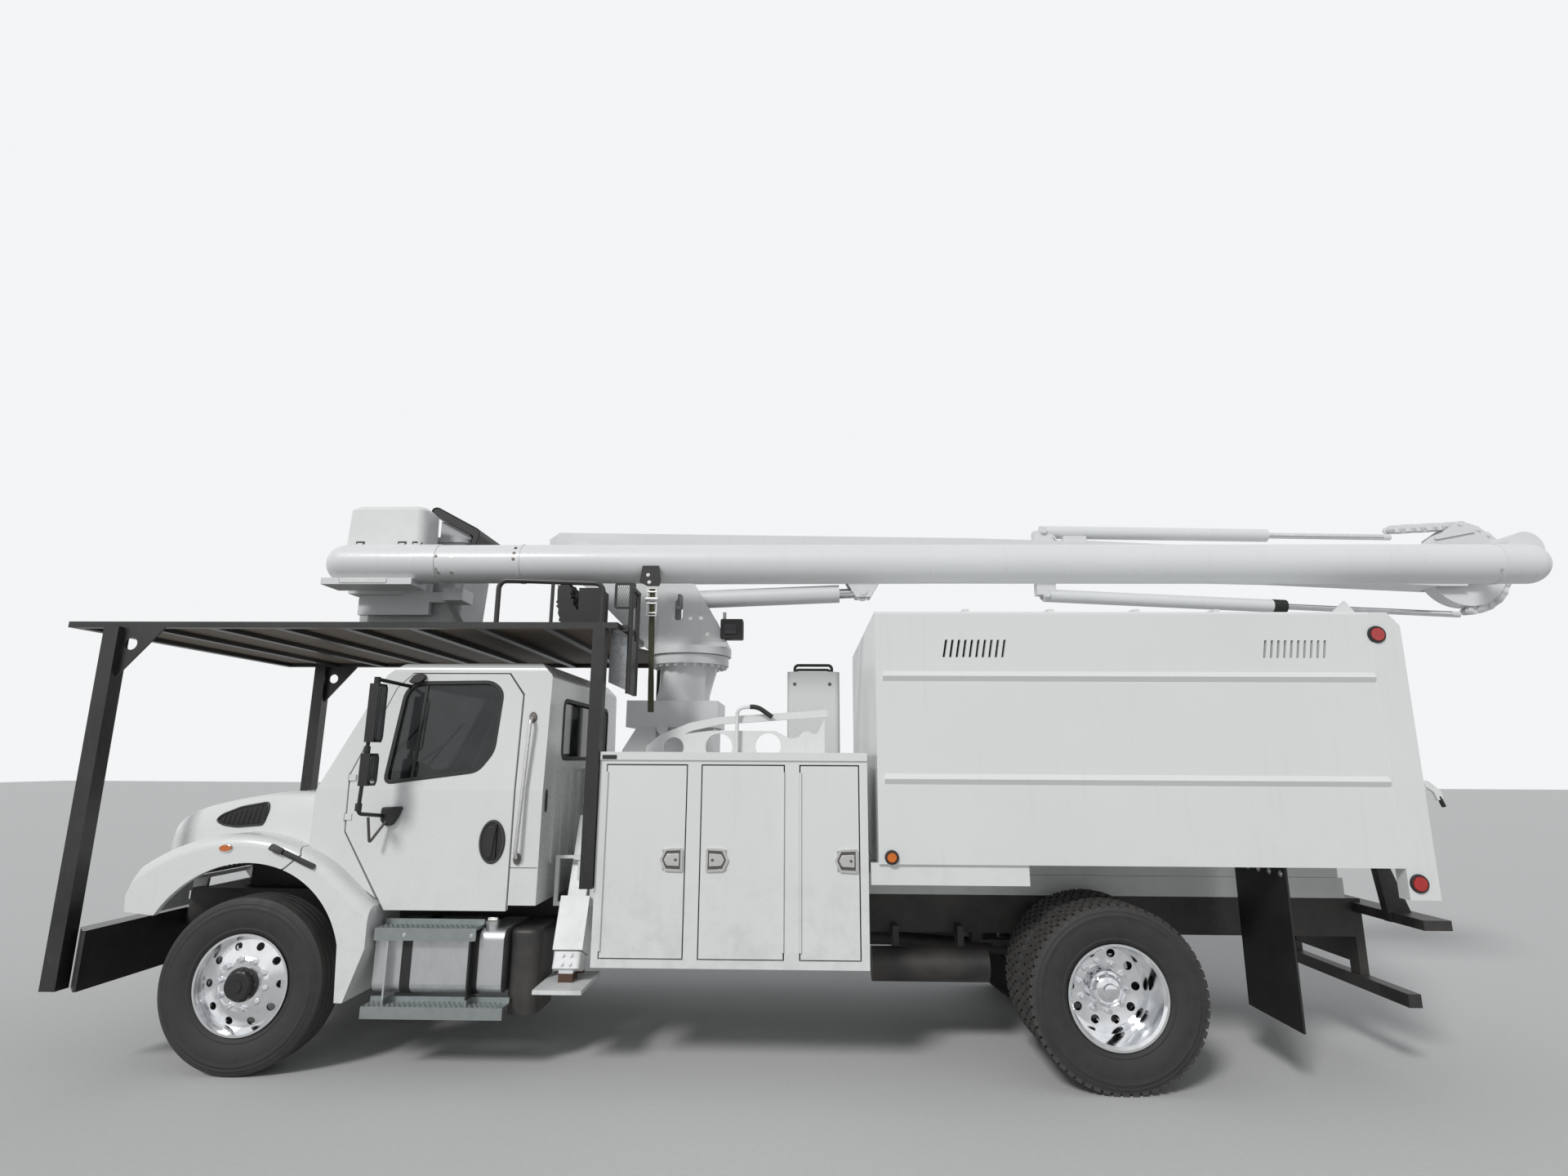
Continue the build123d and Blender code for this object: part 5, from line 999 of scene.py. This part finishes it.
buckle.rod(place(x - halfWide * 1.3, z + 0.02, 0.024), place(x + halfWide * 1.3, z + 0.02, 0.024), 0.017, 18)
buckle.piece("ratchetBuckle", "chassis", zincSteel, bevel=0.002)
half = guardTrim["strapWidth"] / 2
ribbon = []
for index, point in enumerate(rounded([(x, 0.0, z) for x, z in guardTrim["strap"]], 0.12)):
    lean = 0.010 * math.sin(index * 0.7)
    ribbon.append([place(point.x + way * half, point.z, 0.012 + lift + way * lean)
                   for way, lift in ((-1, 0), (1, 0), (1, 0.003), (-1, 0.003))])
Stock().skin(ribbon).piece("tieStrap", "chassis", khakiWebbing)
rag = Stock()
first, pitch, thick = guardTrim["layers"]
for layer in range(4):
    near = first + layer * pitch
    outline = []
    for index, (u, v) in enumerate(closedLoop(guardTrim["ragged"], 0.03)):
        fray = 0.009 * math.sin(index * 2.7 + layer * 1.9)
        outline.append((st(u) + fray, max(v + 0.007 * math.cos(index * 3.3 + layer), 2.795)))
    rag.slab(outline, near, near + thick)
rag.piece("wornRubber", "chassis", flapRubber, bevel=0.003)
print("guard dressed")


# Steps, tank and outriggers

stepTrim = {
    "treads": ((0.82, 1.42, 1.008, 1.100, 0.860), (0.79, 1.63, 1.028, 1.128, 0.410)),  # X, Y, height
    "studPitch": 0.032,
    "studRadius": 0.009,
    "bracketBolts": ((0.99, 1.1125, 0.818), (1.415, 1.1125, 0.818)),
    "cap": (1.500, 0.990, 0.872),
    "capProfile": ((0.0, 0.0), (0.0, 0.044), (0.020, 0.046), (0.024, 0.040), (0.026, 0.0)),
    "boxReach": 0.812,
    "controlBox": (2.046, 1.176, 0.058, 0.060),
    "slot": (2.078, 1.172, 0.010, 0.034),
    "socketHeads": ((0.732, -0.026), (0.732, 0.026), (0.784, -0.026), (0.784, 0.026)),
    "socket": (1.990, 0.640, 1.330, 0.084),  # a point on its axis, and half its thickness
    "tilt": math.radians(22),
}
for side, sign in sides:
    studs = []
    for start, end, near, far, height in stepTrim["treads"]:
        for row in range(int((far - near) / stepTrim["studPitch"]) + 1):
            for index in range(int((end - start) / stepTrim["studPitch"])):
                x = start + (index + 0.5 * (row % 2)) * stepTrim["studPitch"]
                studs.append((st(x), sign * (near + row * stepTrim["studPitch"]), height))
    boltPiece(f"treadStuds_{side}", "chassis", studs, (0, 0, 1), stepGrey,
              stepTrim["studRadius"], 0.0035, 8, 1.2)
    heads = placed(stepTrim["bracketBolts"], sign)
    boltPiece(f"stepBolts_{side}", "chassis", heads, (0, sign, 0), zincSteel, 0.008, 0.005)
    x, z, halfWide, halfHigh = stepTrim["controlBox"]
    box = onSide(sign, stepTrim["boxReach"])
    plate(square(x, z, halfWide, halfHigh), box, 0.0, 0.034, 0.006).piece(
        f"controlBox_{side}", "chassis", bodyWhite, bevel=0.003)
    x, z, halfWide, halfHigh = stepTrim["slot"]
    plate(oval(x, z, halfWide, halfHigh, 16), box, 0.032, 0.036).piece(
        f"controlSlot_{side}", "chassis", blackPlastic)
    lean = stepTrim["tilt"]
    down = Vector((0, sign * math.sin(lean), -math.cos(lean)))
    outward = Vector((0, sign * math.cos(lean), math.sin(lean)))
    x, y, z, thick = stepTrim["socket"]
    face = Vector((st(x), sign * y, z)) + outward * thick
    heads = [face + down * s + Vector((dx, 0, 0)) for s, dx in stepTrim["socketHeads"]]
    boltPiece(f"socketBolts_{side}", f"outrigger_{side}", heads, tuple(outward), boomWhite, 0.011,
              0.012, 6, 1.6)
x, y, z = stepTrim["cap"]
Stock().spin(stepTrim["capProfile"], (st(x), -y, z - 0.004), 32, "Z").piece("fillerCap", "chassis", zincSteel)
Stock().box((st(x) - 0.032, -y - 0.007, z + 0.018), (st(x) + 0.032, -y + 0.007, z + 0.034)).piece(
    "fillerGrip", "chassis", zincSteel, bevel=0.003)
print("steps dressed")


# Cabinets: paddle latches and the blank plate

latch = {
    "doors": ((1, 2.674, 1), (2, 2.951, -1), (3, 3.758, 1)),  # door, station, which way its paddle points
    "height": 1.295,
    "skin": 1.220,
    "outline": ((-0.068, 0.0), (-0.040, 0.060), (0.060, 0.064), (0.060, -0.064), (-0.040, -0.060)),
    "paddle": ((-0.070, 0.0), (-0.050, 0.034), (0.026, 0.038), (0.026, -0.038), (-0.050, -0.034)),
    "blank": (2.257, 1.916, 0.046, 0.013),
    "blankReach": 1.232,
}
for side, sign in sides:
    face = onSide(sign, latch["skin"])
    for number, x, way in latch["doors"]:
        body = f"cabinet_door_{side}_{number}"
        outline = [(x + u * way, latch["height"] + v) for u, v in latch["outline"]]
        band(outline, face, 0.014, 0.0, 0.013, 0.006).piece(
            f"latchRim_{side}_{number}", body, zincSteel, bevel=0.002)
        plate([(x + u * way * 0.9, latch["height"] + v * 0.9) for u, v in latch["outline"]], face, 0.006,
              0.0094).piece(f"latchDish_{side}_{number}", body, darkSteel, "rod_chrome")
        hinge = x + 0.020 * way
        outline = [(hinge + u * way, latch["height"] + v) for u, v in latch["paddle"]]
        plate(outline, face, 0.010, 0.019, 0.006).piece(
            f"latchPaddle_{side}_{number}", body, zincSteel, bevel=0.002)
        boltPiece(f"latchLock_{side}_{number}", body, [face(x + 0.024 * way, latch["height"], 0.018)],
                  (0, sign, 0), darkSteel, 0.009, 0.004, 16, 1.3, slot="rod_chrome")
    x, z, halfWide, halfHigh = latch["blank"]
    plate(square(x, z, halfWide, halfHigh), onSide(sign, latch["blankReach"]), -0.001, 0.0035, 0.004).piece(
        f"blankPlate_{side}", "chassis", blackPlastic, bevel=0.001)
print("cabinets dressed")


# The chip box: lamp surrounds, the gate's lever and flap bolts

boxTrim = {
    "lamps": ((7.174, 2.713, 0.042), (7.210, 1.191, 0.042), (4.035, 1.318, 0.030)),
    "lampReach": 1.222,
    "surround": ((-0.002, 0.0), (0.010, -0.001), (0.017, 0.003), (0.016, 0.010), (0.006, 0.014),
                 (-0.002, 0.014)),
    "lever": ((7.300, 1.790), (7.395, 1.800), (7.470, 1.735), (7.480, 1.690), (7.440, 1.675), (7.425, 1.725),
              (7.380, 1.757), (7.300, 1.750)),
    "leverReach": 1.150,
    "flapBolts": 5,
    "flap": (6.425, 0.66, 0.125, 1.235),  # station, first reach, pitch and height of its bolts
}
for side, sign in sides:
    for index, (x, z, radius) in enumerate(boxTrim["lamps"]):
        profile = [(sign * lift, radius + wide) for lift, wide in boxTrim["surround"]]
        Stock().spin(profile, (st(x), sign * boxTrim["lampReach"], z), 36).piece(
            f"lampSurround{index}_{side}", "chassis", blackPlastic)
    x, reach, pitch, z = boxTrim["flap"]
    heads = [(st(x), sign * (reach + index * pitch), z) for index in range(boxTrim["flapBolts"])]
    boltPiece(f"flapBolts_{side}", "chassis", heads, (-1, 0, 0), zincSteel, 0.011, 0.009, 6, 1.8)
plate(boxTrim["lever"], onSide(-1, boxTrim["leverReach"]), 0.0, 0.022, 0.01).piece(
    "gateLever", "chassis", bodyWhite, bevel=0.004)
Stock().rod((st(7.345), -1.190, 1.772), (st(7.345), -1.140, 1.772), 0.016, 16).piece(
    "gateLeverPin", "chassis", zincSteel, bevel=0.002)
Stock().tube([(st(7.455), -1.161, 1.702), (st(7.478), -1.161, 1.640)], 0.013, 12).piece(
    "gateLeverGrip", "chassis", flapRubber)
print("chip box dressed")


# Turret, pedestal and tank

turretTrim = {
    "ringBolts": 24,
    "ringRadius": 0.280,
    "ringCentre": (2.580, 2.630),
    "skirtBolts": ((2.455, 2.985), (2.600, 2.987), (2.685, 2.990), (2.452, 2.860), (2.740, 2.862)),
    "skirtReach": 0.202,
    "box": (2.930, 2.902, 0.088, 0.078),
    "grab": ((3.020, 1.945), (3.020, 2.262), (3.160, 2.276), (3.268, 2.200)),
    "grabReach": 0.665,
    "tankScrews": ((3.42, 2.50), (3.70, 2.50), (3.42, 2.02)),
    "tankFace": 0.060,
}
x, z = turretTrim["ringCentre"]
heads = ring((st(x), 0, z), turretTrim["ringRadius"], turretTrim["ringBolts"], (0, 0, -1))
boltPiece("ringBolts", "chassis", heads, (0, 0, -1), boomWhite, 0.017, 0.020)
for side, sign in sides:
    heads = [(st(x), sign * turretTrim["skirtReach"], z) for x, z in turretTrim["skirtBolts"]]
    boltPiece(f"skirtBolts_{side}", "turret", heads, (0, sign, 0), zincSteel, 0.011, 0.008)
x, z, halfWide, halfHigh = turretTrim["box"]
face = onSide(-1, 0.0)
plate(square(x, z, halfWide, halfHigh), face, 0.120, 0.236, 0.014).piece(
    "turretBox", "turret", blackPlastic, bevel=0.006)
plate(square(x - 0.01, z - 0.005, halfWide * 0.55, halfHigh * 0.5), face, 0.234, 0.252, 0.01).piece(
    "turretBoxLid", "turret", cabPlastic, bevel=0.004)
Stock().rod((st(2.868), -0.170, z), (st(2.868), -0.170, z + 0.14), 0.014, 12).piece(
    "turretBoxStem", "turret", boomWhite)
path = rounded([(st(x), -turretTrim["grabReach"], z) for x, z in turretTrim["grab"]], 0.05)
Stock().tube(path[:-7], 0.013, 12).piece("deckGrab", "chassis", bodyWhite)
Stock().tube(path[-8:], 0.017, 12).piece("deckGrabGrip", "chassis", flapRubber)
heads = [(st(x), turretTrim["tankFace"], z) for x, z in turretTrim["tankScrews"]]
boltPiece("tankScrews", "chassis", heads, (0, -1, 0), darkSteel, 0.010, 0.006)
print("turret dressed")


# Booms: seam bolts, pipes, gland and chain pins

boomTrim = {
    "axis": (-0.600, 3.330),
    "heads": ((0.782, 0.150, 12, darkSteel), (0.782, 0.150, -25, zincSteel), (0.900, 0.146, 12, zincSteel),
              (0.900, 0.146, -38, zincSteel), (0.800, 0.146, -38, zincSteel), (1.360, 0.146, 22, darkSteel),
              (1.360, 0.146, 2, darkSteel), (1.360, 0.146, 42, darkSteel), (8.470, 0.146, -30, zincSteel)),
    "strip": (0.068, 0.424, 3.182),
    "pipe": ((5.520, -0.060, 3.700), (5.548, -0.060, 3.652), (5.830, -0.060, 3.650), (6.280, -0.060, 3.628),
             (6.420, -0.060, 3.612)),
    "valve": ((5.590, -0.095, 3.630), (5.775, -0.020, 3.688)),
    "gland": ((7.235, 3.1312), (7.345, 3.1261)),
    "bosses": ((5.445, 3.745), (5.445, 3.215)),
}
y, z = boomTrim["axis"]
for index, (x, radius, turn, material) in enumerate(boomTrim["heads"]):
    turn = math.radians(turn)
    facings = [(0, way * math.cos(turn), math.sin(turn)) for way in (-1, 1)]
    points = [(st(x), y + out[1] * radius, z + out[2] * radius) for out in facings]
    boltPiece(f"tubeBolts{index}", "upper_boom", points, facings, material, 0.008, 0.006, slot="rod_chrome")
start, end, z = boomTrim["strip"]
cling("upper_boom", [(st(x), v) for x, v in closedLoop(square((start + end) / 2, z, (end - start) / 2, 0.020),
                                                       0.012, 3)], -1, 0.006, 0.012).piece(
    "tubeStrip", "upper_boom", coverWhite, bevel=0.002, sharp=50)
for index, shift in enumerate((0.0, 0.026)):
    path = rounded(placed(boomTrim["pipe"], shift=shift), 0.04)
    Stock().tube(path, 0.007, 10).piece(f"boomPipe{index}", "lower_boom", boomWhite)
low, high = boomTrim["valve"]
Stock().box((st(low[0]), low[1], low[2]), (st(high[0]), high[1], high[2])).piece(
    "boomValve", "lower_boom", boomWhite, bevel=0.006)
(x, z), (farX, farZ) = boomTrim["gland"]
Stock().tube([(st(x), 0, z), (st(farX), 0, farZ)], 0.0545, 28).piece(
    "cylinderGland", "lower_boom", blackPlastic, "black_steel", bevel=0.004)
for index, (x, z) in enumerate(boomTrim["bosses"]):
    for side, sign in sides:
        edge = abs(touch("elbow_cylinders lower_boom", st(x), z, sign) or 0.06)
        boltPiece(f"bracketBoss{index}_{side}", "lower_boom", [(st(x), sign * (edge - 0.001), z)], (0, sign, 0),
                  boomWhite, 0.024, 0.014, 20, 1.4)
chain = {
    "centre": (8.770, 3.440),
    "radius": 0.350,
    "start": -91,  # degrees
    "step": 14,
    "wrap": 13,  # links round the drum, then links on the straight run
    "run": 6,
    "slope": 0.055,  # how far the straight run falls in a metre
    "reach": 0.0415,
}
pins = []
pitch = 2 * chain["radius"] * math.sin(math.radians(chain["step"] / 2))
for index in range(chain["wrap"] + chain["run"] + 1):
    turned = min(index, chain["wrap"])
    angle = math.radians(chain["start"] + turned * chain["step"])
    extra = (index - turned) * pitch
    pins.append((st(chain["centre"][0] + chain["radius"] * math.cos(angle) - extra),
                 chain["centre"][1] + chain["radius"] * math.sin(angle) - extra * chain["slope"]))
for side, sign in sides:
    boltPiece(f"chainPins_{side}", "lower_boom", [(x, sign * chain["reach"], z) for x, z in pins], (0, sign, 0),
              boomWhite, 0.012, 0.009, 16, 1.9)
print("booms dressed")


# The bucket's end: cover clips, the strap and the console hood's piping

bucketTrim = {
    "slots": (0.101, 0.424, 0.535),
    "slotHeight": 3.512,
    "strap": ((0.690, -0.306, 3.186), (0.716, -0.302, 3.094), (0.770, -0.262, 3.000), (0.826, -0.250, 2.905)),
    "strapHalf": 0.020,
    "hoodEdge": ((0.463, 3.850), (0.472, 3.893), (0.510, 3.902), (0.864, 3.713), (0.870, 3.670),
                 (0.845, 3.580)),
    "hoodSides": (-0.200, 0.370),
}
for index, x in enumerate(bucketTrim["slots"]):
    for label, z, halfWide, halfHigh, lift, material in (
            ("Slot", bucketTrim["slotHeight"], 0.034, 0.011, 0.0015, blackPlastic),
            ("Tab", bucketTrim["slotHeight"] - 0.012, 0.022, 0.008, 0.007, coverWhite)):
        outline = [(st(u), v) for u, v in closedLoop(square(x, z, halfWide, halfHigh), 0.005, 2)]
        cling("tip_cover", outline, -1, lift, 0.006).piece(f"cover{label}{index}", "bucket", material)
half = bucketTrim["strapHalf"]
route = rounded(placed(bucketTrim["strap"]), 0.05)
Stock().skin([[point + Vector((way * half, lift, way * half * 0.35)) for way, lift in
               ((-1, 0), (1, 0), (1, 0.003), (-1, 0.003))] for point in route]).piece(
    "bucketStrap", "bucket", greyWebbing)
piping = Stock()
for y in bucketTrim["hoodSides"]:
    piping.tube(rounded([(st(x), y, z) for x, z in bucketTrim["hoodEdge"]], 0.02), 0.0055, 8)
piping.piece("hoodPiping", "bucket", flapRubber)
print("bucket dressed")


# Camera, lights and floor

view = {
    "place": (-0.3649, -6.4973, 1.8997),
    "right": (0.99973, 0.02258, 0.00528),
    "up": (-0.00049, -0.20726, 0.97829),
    "lens": 18.70,
    "sunTurn": (math.radians(52), 0, math.radians(-28)),
    "sunPower": 1.75,
    "sunSoftness": math.radians(12),
    "skyStrength": 0.42,
    "floorHalf": 60,
}
camera = bpy.data.objects.new("viewCamera", bpy.data.cameras.new("viewCamera"))
camera.data.lens = view["lens"]
camera.data.clip_end = 200
right = Vector(view["right"]).normalized()
ahead = Vector(view["up"]).cross(right).normalized()
upward = right.cross(ahead)
camera.matrix_world = Matrix((right, upward, -ahead)).transposed().to_4x4()
camera.location = view["place"]
bpy.context.scene.collection.objects.link(camera)
bpy.context.scene.camera = camera

sun = bpy.data.objects.new("keyLight", bpy.data.lights.new("keyLight", "SUN"))
sun.data.energy = view["sunPower"]
sun.data.angle = view["sunSoftness"]
sun.rotation_euler = view["sunTurn"]
bpy.context.scene.collection.objects.link(sun)

world = bpy.data.worlds.new("studio")
bpy.context.scene.world = world
world.use_nodes = True
world.node_tree.nodes.clear()
sky = Bench(world.node_tree)
path = sky.add("ShaderNodeLightPath")
seen = path
for other in (3, 6):  # glossy and transmission rays see the white too
    also = Wire(sky, path.socket.node.outputs[other])
    seen = seen.maths("MAXIMUM", seen, also)
soft = sky.add("ShaderNodeBackground", {}, {"Color": (0.93, 0.96, 1.0, 1), "Strength": view["skyStrength"]})
plain = sky.add("ShaderNodeBackground", {}, {"Color": (0.90, 0.91, 0.92, 1), "Strength": 1.0})
blend = sky.add("ShaderNodeMixShader", {}, {0: seen, 1: soft, 2: plain})
sky.add("ShaderNodeOutputWorld", {}, {"Surface": blend})


def paleFloor(b):
    grain = b.noise(30, 5, 0.6)
    colour = b.mix(grain, (0.62, 0.62, 0.61), (0.55, 0.55, 0.545))
    return {"Base Color": colour, "Roughness": 0.85, "Normal": b.bump(b.noise(300, 3), 0.2, 0.002)}


floorStock = Stock()
corners = square(0, 0, view["floorHalf"], view["floorHalf"])
floorStock.mesh.faces.new([floorStock.mesh.verts.new((x, y, 0)) for x, y in corners])
floorMesh = bpy.data.meshes.new("floor")
floorStock.mesh.to_mesh(floorMesh)
floorMesh.materials.append(finish("paleFloor", paleFloor))
floor = bpy.data.objects.new("floor", floorMesh)
bpy.context.scene.collection.objects.link(floor)
bpy.context.scene.view_settings.view_transform = "Standard"
